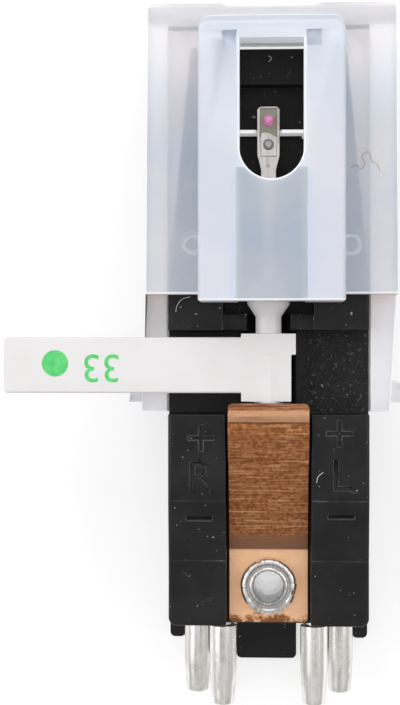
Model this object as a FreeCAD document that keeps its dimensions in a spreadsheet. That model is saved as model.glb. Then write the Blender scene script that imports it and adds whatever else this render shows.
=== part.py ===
import FreeCAD, Part
import math
import os
import re
import Sketcher

# Stereo ceramic turnover cartridge, lying on its mounting face with the stylus side up.
# Frame in millimetres: origin on the mounting face at the fixing bore's axis, +Y to the front, +Z up.

SIZES = {
    # moulded housing
    "body_width": "11.0",
    "body_rear": "2.08",
    "body_front": "29.84",
    "taper_start": "16.4",
    "nose_inset": "1.25",
    "draft_angle": "2.2",
    "corner_round": "0.45",
    "edge_round": "0.2",
    "cheek_rise": "1.0",
    "cheek_drop": "0.95",
    "slope_foot": "1.5",
    "slope_head": "4.9",
    "cheek_front": "9.64",
    "recess_gap": "0.25",
    "deck_rise": "0.6",
    "deck_rear": "14.24",
    "nose_bevel": "0.77",
    "nose_bevel_drop": "0.9",
    "nose_drop": "0.4",
    "channel_depth": "1.4",
    "trough_width": "5.0",
    "trough_depth": "1.4",
    "ledge_length": "0.93",
    "ledge_gap": "0.49",
    "saddle_length": "1.14",
    "bay_inner": "1.8",
    "bay_wall": "0.7",
    "bay_nose_wall": "0.35",
    "bay_rear": "0.3",
    "bay_end_gap": "0.44",
    "bay_roof_thick": "0.5",
    # back cover with its corner lugs and tail
    "cover_thick": "1.0",
    "lug_flare": "0.4",
    "lug_width": "0.92",
    "lug_length": "1.97",
    "tail_width": "3.58",
    "tail_shift": "0.13",
    "tail_length": "3.22",
    "tail_round": "0.3",
    # fixing eyelet
    "bore_radius": "0.85",
    "barrel_wall": "0.25",
    "flange_width": "0.45",
    "flange_thick": "0.35",
    "rim_width": "0.43",
    "rim_height": "0.66",
    "rim_round": "0.3",
    # leaf spring that holds the turning lever down
    "clip_width": "4.45",
    "clip_thick": "0.3",
    "clip_side_gap": "0.115",
    "clip_rear_inset": "0.01",
    "clip_bend": "1.96",
    "crest_back": "1.04",
    "crest_lift": "0.35",
    "lip_back": "0.09",
    "lip_lift": "0.4",
    "clip_journal_gap": "0.08",
    "clip_block_gap": "0.08",
    "clip_round": "0.5",
    "clip_corner": "0.25",
    # turning lever with its journal, neck and arm socket
    "axis_height": "8.0",
    "lever_thick": "1.5",
    "lever_end": "14.6",
    "lever_edge": "0.12",
    "tab_rear_gap": "1.16",
    "tab_front_gap": "0.37",
    "tab_round": "0.2",
    "block_half": "1.5",
    "block_step": "1.25",
    "block_head": "1.17",
    "block_rear_gap": "0.69",
    "block_front_gap": "0.17",
    "block_gap": "0.12",
    "journal_radius": "0.8",
    "journal_end_gap": "0.2",
    "journal_gap": "0.05",
    "neck_radius": "0.71",
    "neck_end_gap": "0.17",
    "flare_radius": "1.175",
    "flare_length": "0.7",
    "socket_length": "1.5",
    "socket_depth": "1.7",
    # stylus arm and its two tips
    "arm_thick": "0.34",
    "arm_width": "0.83",
    "arm_tube": "0.41",
    "arm_front": "26.6",
    "arm_room": "1.3",
    "tube_length": "2.8",
    "tube_taper": "1.4",
    "paddle_width": "1.24",
    "paddle_flare": "0.83",
    "paddle_length": "2.69",
    "paddle_bevel": "0.16",
    "tray_end": "0.1",
    "tray_width": "0.94",
    "tray_depth": "0.12",
    "plate_width": "0.86",
    "plate_length": "1.3",
    "plate_skew": "0.24",
    "plate_thick": "0.07",
    "tip_radius": "0.29",
    "tip_shank": "0.3",
    "tip_reach": "0.85",
    "tip_point": "0.05",
    "tip_back": "0.12",
    "tip_fine_back": "0.77",
    "tip_coarse_back": "2.1",
    # coupling yoke from the arm to both elements
    "yoke_back": "1.34",
    "yoke_thick": "0.2",
    "yoke_half": "2.4",
    "yoke_drop": "0.1",
    "yoke_floor_gap": "0.15",
    "yoke_leg": "0.5",
    "yoke_knee_drop": "0.4",
    "yoke_foot": "0.65",
    "yoke_notch_gap": "0.077",
    "yoke_gap": "0.12",
    # piezo elements, their rubber clamps and dampers
    "roll_angle": "45.0",
    "element_width": "1.6",
    "element_thick": "0.6",
    "element_wall_gap": "0.0875",
    "element_rear": "6.5",
    "clamp_rear": "10.5",
    "clamp_length": "2.5",
    "damper_rear": "21.0",
    "damper_length": "1.5",
    "pad_gap": "0.05",
    # rolled terminal pins with their contact tails
    "pin_radius": "0.77",
    "pin_bore": "0.28",
    "pin_shank": "0.47",
    "pin_tip_radius": "0.65",
    "pin_taper": "2.0",
    "pin_mouth": "0.12",
    "pin_stand": "0.37",
    "pin_length": "4.54",
    "pin_inner": "0.7",
    "pin_core_gap": "0.78",
    "pin_roof_gap": "0.6",
    "pin_wall_gap": "0.61",
    "pin_floor_gap": "1.2",
    "contact_width": "0.9",
    "contact_thick": "0.2",
    "contact_bend": "1.2",
    "contact_lands": "5.6",
    "contact_front": "9.3",
    # pull-off stylus guard
    "guard_shift": "0.17",
    "guard_gap": "0.08",
    "guard_narrow": "0.1",
    "guard_nose_gap": "1.09",
    "guard_lift": "0.15",
    "guard_wall": "1.1",
    "guard_front_wall": "1.1",
    "guard_plate": "0.9",
    "guard_base": "1.6",
    "guard_round": "0.4",
    "shoulder_back": "1.96",
    "wing_gap": "0.15",
    "wing_rear": "9.85",
    "wing_skew": "0.35",
    "hump_width": "7.85",
    "hump_back": "1.54",
    "hump_height": "1.95",
    "hump_front_set": "0.72",
    "hump_slope": "0.7",
    "hump_roof": "1.6",
    "hump_round": "0.25",
    "hump_corner": "0.6",
    "groove_width": "3.7",
    "groove_lead": "0.8",
    "window_width": "3.44",
    "window_rear": "22.24",
    "window_front": "29.7",
    "pip_width": "0.8",
    "pip_gap": "0.12",
    "pip_back": "0.43",
    "pip_length": "0.85",
    "pip_depth": "0.3",
    "boss_x": "4.3",
    "boss_y": "18.9",
    "boss_radius": "0.49",
    "boss_gap": "0.05",
    "catch_set": "0.35",
    "catch_length": "1.15",
    "catch_out": "0.97",
    "catch_slant": "0.17",
    "catch_base": "2.6",
    "catch_top": "5.4",
    "lip_notch_half": "2.75",
    "lip_notch_depth": "0.17",
}

# Sizes and places that follow from others, as expressions

NOSE_HALF = "(body_width / 2 - nose_inset)"
NOSE_SLOPE = "(nose_inset / (body_front - taper_start))"
CHEEK_TOP = "(axis_height + cheek_rise)"
CHEEK_LOW = f"({CHEEK_TOP} - cheek_drop)"
DECK_TOP = "(axis_height + deck_rise)"
CHANNEL_FLOOR = "(axis_height - channel_depth)"
TROUGH_FLOOR = "(axis_height - trough_depth)"
RECESS_FLOOR = "(axis_height - lever_thick / 2 - recess_gap)"
LEDGE_FRONT = "(deck_rear + ledge_length)"
SADDLE_REAR = "(cheek_front - saddle_length)"
CHANNEL_WIDTH = "(clip_width + 2 * clip_side_gap)"
TAIL_END = "(body_rear + tail_length)"
LUG_END = "(body_rear + lug_length)"
BARREL_RADIUS = "(bore_radius + barrel_wall)"
BLOCK_REAR = "(cheek_front + block_rear_gap)"
BLOCK_FRONT = "(deck_rear - block_front_gap)"
FLARE_REAR = f"({LEDGE_FRONT} - neck_end_gap + flare_length)"
SOCKET_FRONT = f"({FLARE_REAR} + socket_length)"
TUBE_FRONT = f"({SOCKET_FRONT} + tube_length)"
PADDLE_REAR = "(arm_front - paddle_length)"
TIP_FINE_AT = "(arm_front - tip_fine_back)"
TIP_COARSE_AT = "(arm_front - tip_coarse_back)"
YOKE_AT = "(arm_front - yoke_back)"
BAY_OUTER = "(body_width / 2 - bay_wall)"
BAY_FRONT = f"({YOKE_AT} + yoke_thick / 2 + bay_end_gap)"
BAY_OUTER_FRONT = f"(body_width / 2 - bay_nose_wall - {NOSE_SLOPE} * ({BAY_FRONT} - taper_start))"
BAY_ROOF = f"(min({CHANNEL_FLOOR}; {TROUGH_FLOOR}) - bay_roof_thick)"
PIN_SHOULDER = "(body_rear + pin_stand)"
PIN_END = f"({PIN_SHOULDER} + pin_length)"
PIN_X = {"near": "(bay_inner + pin_core_gap)", "far": f"({BAY_OUTER} - pin_wall_gap)"}
PIN_Z = {"near": f"({BAY_ROOF} - pin_roof_gap)", "far": "(cover_thick + pin_floor_gap)"}
ROLL_COS = "cos(roll_angle * 1 deg)"
ROLL_SIN = "sin(roll_angle * 1 deg)"
ELEMENT_REACH = f"((element_width * {ROLL_COS} + element_thick * {ROLL_SIN}) / 2)"
ELEMENT_X = f"({BAY_OUTER_FRONT} - element_wall_gap - {ELEMENT_REACH})"
ELEMENT_Z = f"(({PIN_Z['near']} + {PIN_Z['far']}) / 2)"
GUARD_HALF = "(body_width / 2 + guard_shift + guard_gap + guard_wall)"
GUARD_FRONT = "(body_front + guard_nose_gap + guard_front_wall)"
GUARD_CEILING = f"({DECK_TOP} + guard_lift)"
GUARD_TOP = f"({GUARD_CEILING} + guard_plate)"
SHOULDER_REAR = "(deck_rear + shoulder_back)"
WING_TOP = "(axis_height - lever_thick / 2 - wing_gap)"
HUMP_TOP = f"({GUARD_TOP} + hump_height)"
HUMP_REAR = "(deck_rear + hump_back)"
HUMP_FRONT = f"({GUARD_FRONT} - hump_front_set)"

doc = FreeCAD.newDocument("cartridge")
sheet = doc.addObject("Spreadsheet::Sheet", "Sizes")
for row, (word, number) in enumerate(SIZES.items(), start=1):
    sheet.set(f"A{row}", word)
    sheet.set(f"B{row}", number)
    sheet.setAlias(f"B{row}", word)
doc.recompute()


# Expressions and sketches

def in_sheet(text):
    """Give an expression whose size words point at the sheet's cells."""
    return re.sub(r"[a-z]\w*", lambda m: f"Sizes.{m[0]}" if m[0] in SIZES else m[0], text)


def bind(item, setting, text):
    """Tie a property to an expression written in the sheet's own words."""
    item.setExpression(setting, in_sheet(text))


def value(text):
    """Work out an expression's present value."""
    return float(sheet.evalExpression(in_sheet(text)))


def new_body(label):
    """Start a named sub-part."""
    body = doc.addObject("PartDesign::Body", label)
    body.Label = label
    return body


def origin_item(body, role):
    """Find one of the body's own planes or axes."""
    return next(item for item in body.Origin.OriginFeatures if item.Role == role)


def new_sketch(body, plane, lift):
    """Open a sketch on an origin plane, lifted along the plane's normal."""
    sketch = body.newObject("Sketcher::SketchObject", f"{body.Label}_sketch")
    sketch.AttachmentSupport = [(origin_item(body, f"{plane}_Plane"), "")]
    sketch.MapMode = "FlatFace"
    bind(sketch, "AttachmentOffset.Base.z", lift)
    return sketch


def outline(body, plane, points, lift="0"):
    """Draw a closed outline through corners whose two coordinates are expressions."""
    sketch = new_sketch(body, plane, lift)
    count = len(points)
    turn = 2 * math.pi / count
    ring = [FreeCAD.Vector(math.cos(turn * k), math.sin(turn * k), 0) for k in range(count)]
    for k in range(count):
        sketch.addGeometry(Part.LineSegment(ring[k], ring[(k + 1) % count]))
    for k in range(count):
        sketch.addConstraint(Sketcher.Constraint("Coincident", k, 2, (k + 1) % count, 1))
    for k, corner in enumerate(points):
        for kind, text in zip(("DistanceX", "DistanceY"), corner):
            number = sketch.addConstraint(Sketcher.Constraint(kind, k, 1, 1.0))
            bind(sketch, f"Constraints[{number}]", text)
    return sketch


def rectangle(body, plane, left, right, low, high, lift="0"):
    """Draw a rectangle between four expressions."""
    corners = [(left, low), (right, low), (right, high), (left, high)]
    return outline(body, plane, corners, lift)


def circle(body, plane, across, up, radius, lift="0"):
    """Draw a circle whose centre and radius are expressions."""
    sketch = new_sketch(body, plane, lift)
    sketch.addGeometry(Part.Circle(FreeCAD.Vector(1, 1, 0), FreeCAD.Vector(0, 0, 1), 1))
    for kind, text in (("DistanceX", across), ("DistanceY", up)):
        number = sketch.addConstraint(Sketcher.Constraint(kind, 0, 3, 1.0))
        bind(sketch, f"Constraints[{number}]", text)
    number = sketch.addConstraint(Sketcher.Constraint("Radius", 0, 1.0))
    bind(sketch, f"Constraints[{number}]", radius)
    return sketch


# Features

def shape_volume(body):
    """Give the body's present volume, or nothing before its first feature."""
    return 0.0 if body.Shape.isNull() else body.Shape.Volume


def extrude(body, kind, sketch, length, reverse=False, symmetric=False):
    """Pad or pocket a sketch, and make sure that it changed the body."""
    before = shape_volume(body)
    feature = body.newObject(f"PartDesign::{kind}", f"{body.Label}_{kind.lower()}")
    feature.Profile = sketch
    feature.SideType = "Symmetric" if symmetric else "One side"
    feature.Reversed = reverse
    bind(feature, "Length", length)
    doc.recompute()
    gained = shape_volume(body) - before
    if (gained < 1e-4) if kind == "Pad" else (gained > -1e-4):
        raise RuntimeError(f"{feature.Label} changed nothing")
    return feature


def pad(body, sketch, length, **ways):
    """Add material over a sketch."""
    return extrude(body, "Pad", sketch, length, **ways)


def pocket(body, sketch, length, **ways):
    """Take material away under a sketch."""
    return extrude(body, "Pocket", sketch, length, **ways)


def bore_along_y(body, across, up, radius, start, finish):
    """Cut a round way forward from one Y to another."""
    pocket(body, circle(body, "XZ", across, up, radius, f"-({start})"), f"({finish}) - ({start})")


def revolve(body, plane, axis, points):
    """Turn a half section about one of the body's axes."""
    feature = body.newObject("PartDesign::Revolution", f"{body.Label}_turning")
    feature.Profile = outline(body, plane, points)
    feature.ReferenceAxis = (origin_item(body, f"{axis}_Axis"), [""])
    feature.Angle = 360
    doc.recompute()
    return feature


def round_edges(body, radius, wanted):
    """Fillet the edges of the body's last feature that pass a test."""
    last = body.Tip
    edges = [f"Edge{k}" for k, edge in enumerate(last.Shape.Edges, start=1) if wanted(edge)]
    feature = body.newObject("PartDesign::Fillet", f"{body.Label}_round")
    feature.Base = (last, edges)
    bind(feature, "Radius", radius)
    doc.recompute()
    return feature


def faces_inward(face, centre):
    """Say whether an upright face looks towards the middle of its body."""
    middle = face.CenterOfMass
    towards = FreeCAD.Vector(centre.x - middle.x, centre.y - middle.y, 0)
    return face.normalAt(0, 0).dot(towards) > 0


def draft_walls(body, inner=False):
    """Lean the outer or the inner upright walls outwards, from the highest face downwards."""
    last = body.Tip
    faces = list(enumerate(last.Shape.Faces, start=1))
    centre = last.Shape.BoundBox.Center
    upright = [(k, face) for k, face in faces if abs(face.normalAt(0, 0).z) < 0.01]
    walls = [f"Face{k}" for k, face in upright if faces_inward(face, centre) == inner]
    highest = max(faces, key=lambda pair: pair[1].CenterOfMass.z)
    feature = body.newObject("PartDesign::Draft", f"{body.Label}_draft")
    feature.Base = (last, walls)
    feature.NeutralPlane = (last, [f"Face{highest[0]}"])
    feature.Reversed = inner
    bind(feature, "Angle", "draft_angle")
    doc.recompute()
    return feature


def along(edge, axis):
    """Say whether an edge is straight and runs mainly along an axis."""
    if edge.Curve.TypeId != "Part::GeomLine":
        return False
    return abs(edge.tangentAt(edge.FirstParameter).dot(axis)) > 0.95


def near(edge, y=None, z=None, room=0.02):
    """Say whether an edge's middle lies at a given Y or Z."""
    middle = edge.CenterOfMass
    return (y is None or abs(middle.y - y) < room) and (z is None or abs(middle.z - z) < room)


X_AXIS = FreeCAD.Vector(1, 0, 0)
Y_AXIS = FreeCAD.Vector(0, 1, 0)
Z_AXIS = FreeCAD.Vector(0, 0, 1)
SIDES = {"left": -1, "right": 1}


# Housing: one drafted moulding with cheeks, lever recess, deck, trough and two element bays

def body_plan(grow="0"):
    """Give the plan of the moulding at the cheeks' top, grown outwards for a lower level."""
    half = f"(body_width / 2 + {grow})"
    nose = f"({NOSE_HALF} + {grow})"
    rear = f"-(body_rear + {grow})"
    front = f"body_front + {grow}"
    return [
        (f"-{half}", rear),
        (half, rear),
        (half, "taper_start"),
        (nose, front),
        (f"-{nose}", front),
        (f"-{half}", "taper_start"),
    ]


def make_housing():
    body = new_body("housing")
    plan = outline(body, "XY", body_plan(), CHEEK_TOP)
    pad(body, plan, f"{CHEEK_TOP} - cover_thick", reverse=True)
    draft_walls(body)
    round_edges(body, "corner_round", lambda e: along(e, Z_AXIS) and e.CenterOfMass.y < 0)
    # the stepped top line, cut straight across
    above = f"{CHEEK_TOP} + 1"
    behind = "-(body_rear + 1)"
    ahead = "body_front + 1"
    top_line = [
        (behind, CHEEK_LOW),
        ("slope_foot", CHEEK_LOW),
        ("slope_head", CHEEK_TOP),
        ("cheek_front", CHEEK_TOP),
        ("cheek_front", RECESS_FLOOR),
        ("deck_rear", RECESS_FLOOR),
        ("deck_rear", DECK_TOP),
        ("body_front - nose_bevel", DECK_TOP),
        ("body_front", f"{DECK_TOP} - nose_bevel_drop"),
        (ahead, f"{DECK_TOP} - nose_bevel_drop"),
        (ahead, above),
        (behind, above),
    ]
    pocket(body, outline(body, "YZ", top_line), "2 * body_width", symmetric=True)
    floor_edge = value(RECESS_FLOOR) + value("recess_gap")
    deck_end = value("body_front - nose_bevel")
    round_edges(body, "edge_round", lambda e: along(e, Y_AXIS) and e.CenterOfMass.z > floor_edge
                and e.CenterOfMass.y < deck_end)
    # spring channel, lever saddles, trough and nose gap, cut from above
    cuts = [
        (CHANNEL_WIDTH, behind, SADDLE_REAR, CHANNEL_FLOOR),
        (CHANNEL_WIDTH, SADDLE_REAR, "cheek_front", "axis_height"),
        ("trough_width", "deck_rear", LEDGE_FRONT, "axis_height"),
        ("trough_width", LEDGE_FRONT, "arm_front + arm_room", TROUGH_FLOOR),
        ("trough_width", "arm_front + arm_room", ahead, "axis_height - nose_drop"),
        ("2 * yoke_half + 2 * yoke_gap", f"{YOKE_AT} - yoke_thick / 2 - yoke_gap",
         f"{YOKE_AT} + yoke_thick / 2 + yoke_gap", f"{BAY_ROOF} - yoke_gap"),
    ]
    for width, start, finish, floor in cuts:
        plan = rectangle(body, "XY", f"-({width}) / 2", f"({width}) / 2", start, finish, CHEEK_TOP)
        pocket(body, plan, f"{CHEEK_TOP} - ({floor})")
    sweep = "sqrt(block_half ^ 2 + (lever_thick / 2) ^ 2) + block_gap"
    bore_along_y(body, "0", "axis_height", "journal_radius + journal_gap", SADDLE_REAR, "cheek_front")
    bore_along_y(body, "0", "axis_height", sweep, "cheek_front", "deck_rear")
    bore_along_y(body, "0", "axis_height", "neck_radius + ledge_gap", "deck_rear", LEDGE_FRONT)
    # element bays, cut from below
    for side in SIDES.values():
        bay = [
            (f"{side} * bay_inner", "bay_rear"),
            (f"{side} * {BAY_OUTER}", "bay_rear"),
            (f"{side} * {BAY_OUTER}", "taper_start"),
            (f"{side} * {BAY_OUTER_FRONT}", BAY_FRONT),
            (f"{side} * bay_inner", BAY_FRONT),
        ]
        pocket(body, outline(body, "XY", bay, "cover_thick"), f"{BAY_ROOF} - cover_thick", reverse=True)
        for row in ("near", "far"):
            bore_along_y(body, f"{side} * {PIN_X[row]}", PIN_Z[row], "pin_shank", behind, "bay_rear")
    pocket(body, circle(body, "XY", "0", "0", BARREL_RADIUS, CHEEK_TOP), CHEEK_TOP)
    return body


# Back cover: closes the bays, carries the mounting face, two corner lugs and the tail

def make_back_cover():
    body = new_body("back_cover")
    grow = f"({CHEEK_TOP} - cover_thick) * tan(draft_angle * 1 deg)"
    plan = outline(body, "XY", body_plan(grow), "cover_thick")
    pad(body, plan, "cover_thick", reverse=True)
    draft_walls(body)
    outer = "(body_width / 2 + lug_flare)"
    lugs = [(f"-{outer}", f"lug_width - {outer}", LUG_END),
            (f"{outer} - lug_width", outer, LUG_END),
            ("-tail_shift - tail_width / 2", "tail_width / 2 - tail_shift", TAIL_END)]
    for left, right, rear in lugs:
        pad(body, rectangle(body, "XY", left, right, f"-{rear}", "-body_rear"), "cover_thick")
    corners = (value(LUG_END), value(TAIL_END))
    round_edges(body, "tail_round",
                lambda e: along(e, Z_AXIS) and any(near(e, y=-rear) for rear in corners))
    pocket(body, circle(body, "XY", "0", "0", BARREL_RADIUS, "cover_thick"), "cover_thick")
    seat = circle(body, "XY", "0", "0", f"{BARREL_RADIUS} + flange_width", "flange_thick")
    pocket(body, seat, "flange_thick")
    return body


# Eyelet: turned barrel with a factory flange below and a rolled rim above the spring

def make_eyelet():
    body = new_body("eyelet")
    seat = f"{CHANNEL_FLOOR} + clip_thick"
    rim = f"{seat} + rim_height"
    section = [
        ("bore_radius", "0"),
        (f"{BARREL_RADIUS} + flange_width", "0"),
        (f"{BARREL_RADIUS} + flange_width", "flange_thick"),
        (BARREL_RADIUS, "flange_thick"),
        (BARREL_RADIUS, seat),
        (f"{BARREL_RADIUS} + rim_width", seat),
        (f"{BARREL_RADIUS} + rim_width", rim),
        ("bore_radius", rim),
    ]
    revolve(body, "XZ", "Z", section)
    top = value(rim)
    round_edges(body, "rim_round", lambda e: near(e, z=top) and e.Curve.TypeId == "Part::GeomCircle")
    return body


# Leaf spring: bent strip with a curled lip over the lever's journal

def make_clip_spring():
    body = new_body("clip_spring")
    flat = f"{CHANNEL_FLOOR} + clip_thick"
    rear = "-(body_rear - clip_rear_inset)"
    front = f"{BLOCK_REAR} - clip_block_gap"
    crest = "cheek_front - crest_back"
    lip = "cheek_front - lip_back"
    over_journal = "axis_height + journal_radius + clip_thick"
    line = [
        (rear, flat),
        ("clip_bend", flat),
        (crest, f"{over_journal} + crest_lift"),
        (lip, f"{over_journal} + lip_lift"),
        (front, f"{over_journal} + clip_journal_gap"),
    ]
    under = [(y, f"{z} - clip_thick") for y, z in line]
    pad(body, outline(body, "YZ", under + line[::-1]), "clip_width", symmetric=True)
    bends = [value(place) for place in ("clip_bend", crest, lip)]
    round_edges(body, "clip_round", lambda e: along(e, X_AXIS) and any(near(e, y=b) for b in bends))
    ends = [value(place) for place in (rear, front)]
    round_edges(body, "clip_corner", lambda e: along(e, Z_AXIS) and any(near(e, y=end) for end in ends))
    pocket(body, circle(body, "XY", "0", "0", BARREL_RADIUS, flat), "2 * clip_thick")
    return body


# Turning lever: flat tab and block with a turned journal, neck and flared arm socket

def make_turnover_lever():
    body = new_body("turnover_lever")
    tab_rear = "cheek_front + tab_rear_gap"
    tab_front = "deck_rear - tab_front_gap"
    step_at = f"{BLOCK_FRONT} - block_head"
    journal_end = f"{SADDLE_REAR} + journal_end_gap"
    plan = [
        ("-lever_end", tab_rear),
        ("-block_half", tab_rear),
        ("-block_half", BLOCK_REAR),
        ("block_step", BLOCK_REAR),
        ("block_step", step_at),
        ("block_half", step_at),
        ("block_half", BLOCK_FRONT),
        ("-block_half", BLOCK_FRONT),
        ("-block_half", tab_front),
        ("-lever_end", tab_front),
    ]
    pad(body, outline(body, "XY", plan), "lever_thick", symmetric=True)
    inner_end = -2 * value("block_half")
    round_edges(body, "tab_round", lambda e: along(e, Z_AXIS) and e.CenterOfMass.x < inner_end)
    round_edges(body, "lever_edge", lambda e: not along(e, Z_AXIS) and e.CenterOfMass.x < inner_end)
    section = [
        ("0", journal_end),
        ("journal_radius", journal_end),
        ("journal_radius", step_at),
        ("neck_radius", step_at),
        ("neck_radius", f"{LEDGE_FRONT} - neck_end_gap"),
        ("flare_radius", FLARE_REAR),
        ("flare_radius", SOCKET_FRONT),
        ("0", SOCKET_FRONT),
    ]
    revolve(body, "XY", "Y", section)
    bore_along_y(body, "0", "0", "arm_tube", f"{SOCKET_FRONT} - socket_depth", SOCKET_FRONT)
    bind(body, "Placement.Base.z", "axis_height")
    return body


# Stylus arm: drawn tube flattened into a paddle that holds both tips

def make_stylus_arm():
    body = new_body("stylus_arm")
    section = [
        ("0", f"{SOCKET_FRONT} - socket_depth"),
        ("arm_tube", f"{SOCKET_FRONT} - socket_depth"),
        ("arm_tube", TUBE_FRONT),
        ("arm_thick / 2", f"{TUBE_FRONT} + tube_taper"),
        ("0", f"{TUBE_FRONT} + tube_taper"),
    ]
    revolve(body, "XY", "Y", section)
    edge = [
        ("arm_width / 2", TUBE_FRONT),
        ("arm_width / 2", f"{PADDLE_REAR} - paddle_flare"),
        ("paddle_width / 2", PADDLE_REAR),
        ("paddle_width / 2", "arm_front - paddle_bevel"),
        ("paddle_width / 2 - paddle_bevel", "arm_front"),
    ]
    mirrored = [(f"-({x})", y) for x, y in edge[::-1]]
    pad(body, outline(body, "XY", edge + mirrored), "arm_thick", symmetric=True)
    # sunk tray round the fine tip, and a raised seat with a skew front round the back of the coarse one
    plate_rear = f"{TIP_COARSE_AT} - plate_length / 2"
    plate_front = f"{TIP_COARSE_AT} + plate_length / 2"
    tray = rectangle(body, "XY", "-tray_width / 2", "tray_width / 2",
                     f"{plate_front} - plate_skew", "arm_front - tray_end", "arm_thick / 2")
    pocket(body, tray, "tray_depth")
    plate = [
        ("-plate_width / 2", plate_rear),
        ("plate_width / 2", plate_rear),
        ("plate_width / 2", f"{plate_front} - plate_skew"),
        ("0", plate_front),
        ("-plate_width / 2", plate_front),
    ]
    pad(body, outline(body, "XY", plate, "arm_thick / 2 - tray_depth"), "plate_thick + tray_depth")
    for place in (TIP_FINE_AT, TIP_COARSE_AT):
        hole = circle(body, "XY", "0", place, "tip_radius", "arm_thick / 2 + plate_thick")
        pocket(body, hole, "arm_thick + plate_thick")
    bind(body, "Placement.Base.z", "axis_height")
    return body


def make_tip(label, place, upwards):
    """Turn one jewel tip: a shank set through the paddle, with a ground cone."""
    body = new_body(label)
    section = [
        ("0", "-arm_thick / 2 - tip_back"),
        ("tip_radius", "-arm_thick / 2 - tip_back"),
        ("tip_radius", "tip_shank"),
        ("tip_point", "tip_reach"),
        ("0", "tip_reach"),
    ]
    revolve(body, "XZ", "Z", section)
    body.Placement.Rotation = FreeCAD.Rotation(X_AXIS, 0 if upwards else 180)
    bind(body, "Placement.Base.y", place)
    bind(body, "Placement.Base.z", "axis_height")
    return body


# Coupling yoke: thin saddle under the arm, with one leg down to each element

def make_coupling_yoke():
    body = new_body("coupling_yoke")
    inner = "(yoke_half - yoke_leg)"
    knee = f"{BAY_ROOF} - yoke_knee_drop"
    half = [
        ("yoke_half", "axis_height - yoke_drop"),
        ("yoke_half", knee),
        (f"{ELEMENT_X} + yoke_foot", f"{ELEMENT_Z} + yoke_foot"),
        (f"{ELEMENT_X} + yoke_foot", f"{ELEMENT_Z} - yoke_foot"),
        (f"{ELEMENT_X} - yoke_foot", f"{ELEMENT_Z} - yoke_foot"),
        (inner, f"{knee} - yoke_leg"),
        (inner, f"{TROUGH_FLOOR} + yoke_floor_gap"),
    ]
    mirrored = [(f"-({x})", z) for x, z in half[::-1]]
    pad(body, outline(body, "XZ", half + mirrored, f"-{YOKE_AT}"), "yoke_thick", symmetric=True)
    notch = "sqrt((paddle_width / 2) ^ 2 + (arm_thick / 2) ^ 2) + yoke_notch_gap"
    bore_along_y(body, "0", "axis_height", notch, f"{YOKE_AT} - yoke_thick", f"{YOKE_AT} + yoke_thick")
    return body


# Elements with their rubber clamps and dampers

def make_element(name, side):
    """Cut one piezo bar, rolled to its channel's groove-wall angle."""
    body = new_body(f"element_{name}")
    half_width = "element_width / 2"
    half_thick = "element_thick / 2"
    face = rectangle(body, "XZ", f"-{half_width}", half_width, f"-{half_thick}", half_thick, "-element_rear")
    pad(body, face, f"{YOKE_AT} - yoke_thick / 2 - element_rear", reverse=True)
    body.Placement.Rotation = FreeCAD.Rotation(Y_AXIS, -side * value("roll_angle"))
    bind(body, "Placement.Rotation.Angle", f"{-side} * roll_angle * 1 deg")
    bind(body, "Placement.Base.x", f"{side} * {ELEMENT_X}")
    bind(body, "Placement.Base.z", ELEMENT_Z)
    return body


def make_rubber(kind, name, side, element, outer):
    """Fill the bay's section with a rubber block that the element passes through."""
    block = doc.addObject("Part::Box", f"{kind}_{name}_block")
    bind(block, "Length", f"{outer} - bay_inner - 2 * pad_gap")
    bind(block, "Width", f"{kind}_length")
    bind(block, "Height", f"{BAY_ROOF} - cover_thick - 2 * pad_gap")
    low = f"-{outer} + pad_gap" if side < 0 else "bay_inner + pad_gap"
    bind(block, "Placement.Base.x", low)
    bind(block, "Placement.Base.y", f"{kind}_rear")
    bind(block, "Placement.Base.z", "cover_thick + pad_gap")
    rubber = doc.addObject("Part::Cut", f"{kind}_{name}")
    rubber.Label = f"{kind}_{name}"
    rubber.Base = block
    rubber.Tool = element
    return rubber


# Terminal pins: rolled hollow pins whose tongue lands on one face of an element

def make_pin(label, side, row):
    body = new_body(label)
    section = [
        ("pin_bore", f"-{PIN_END}"),
        ("pin_tip_radius - pin_mouth", f"-{PIN_END}"),
        ("pin_tip_radius", f"-{PIN_END} + pin_mouth"),
        ("pin_radius", f"-{PIN_END} + pin_taper"),
        ("pin_radius", f"-{PIN_SHOULDER}"),
        ("pin_shank", f"-{PIN_SHOULDER}"),
        ("pin_shank", "pin_inner"),
        ("pin_bore", "pin_inner"),
    ]
    revolve(body, "XY", "Y", section)
    # the tongue leaves the shank's wall and drops to the element's face
    way = 1 if row == "near" else -1
    drop = f"{ROLL_COS} * ({PIN_Z[row]} - {ELEMENT_Z}) + {ROLL_SIN} * ({ELEMENT_X} - {PIN_X[row]})"
    landing = f"element_thick / 2 - {way} * ({drop})"
    line = [
        ("bay_rear + pad_gap", "-pin_shank"),
        ("contact_bend", "-pin_shank"),
        ("contact_lands", landing),
        ("contact_front", landing),
    ]
    upper = [(y, f"{z} + contact_thick") for y, z in line[::-1]]
    pad(body, outline(body, "YZ", line + upper), "contact_width", symmetric=True)
    turn = "roll_angle" if row == "near" else "(roll_angle + 180)"
    body.Placement.Rotation = FreeCAD.Rotation(Y_AXIS, -side * value("roll_angle"))
    bind(body, "Placement.Rotation.Angle", f"{-side} * {turn} * 1 deg")
    bind(body, "Placement.Base.x", f"{side} * {PIN_X[row]}")
    bind(body, "Placement.Base.z", PIN_Z[row])
    return body


# Stylus guard: drafted cap with a windowed hump, side wings and catches

def guard_plan(half, middle, skew, front, rear):
    """Give the plan of the guard's outer or inner wall at its top."""
    nose = f"({half} - guard_narrow)"
    return [
        (f"{middle} - {half} - {skew}", rear),
        (f"{middle} - {half}", SHOULDER_REAR),
        (f"{middle} - {nose}", front),
        (f"{middle} + {nose}", front),
        (f"{middle} + {half}", SHOULDER_REAR),
        (f"{middle} + {half} - {skew}", rear),
    ]


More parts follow.
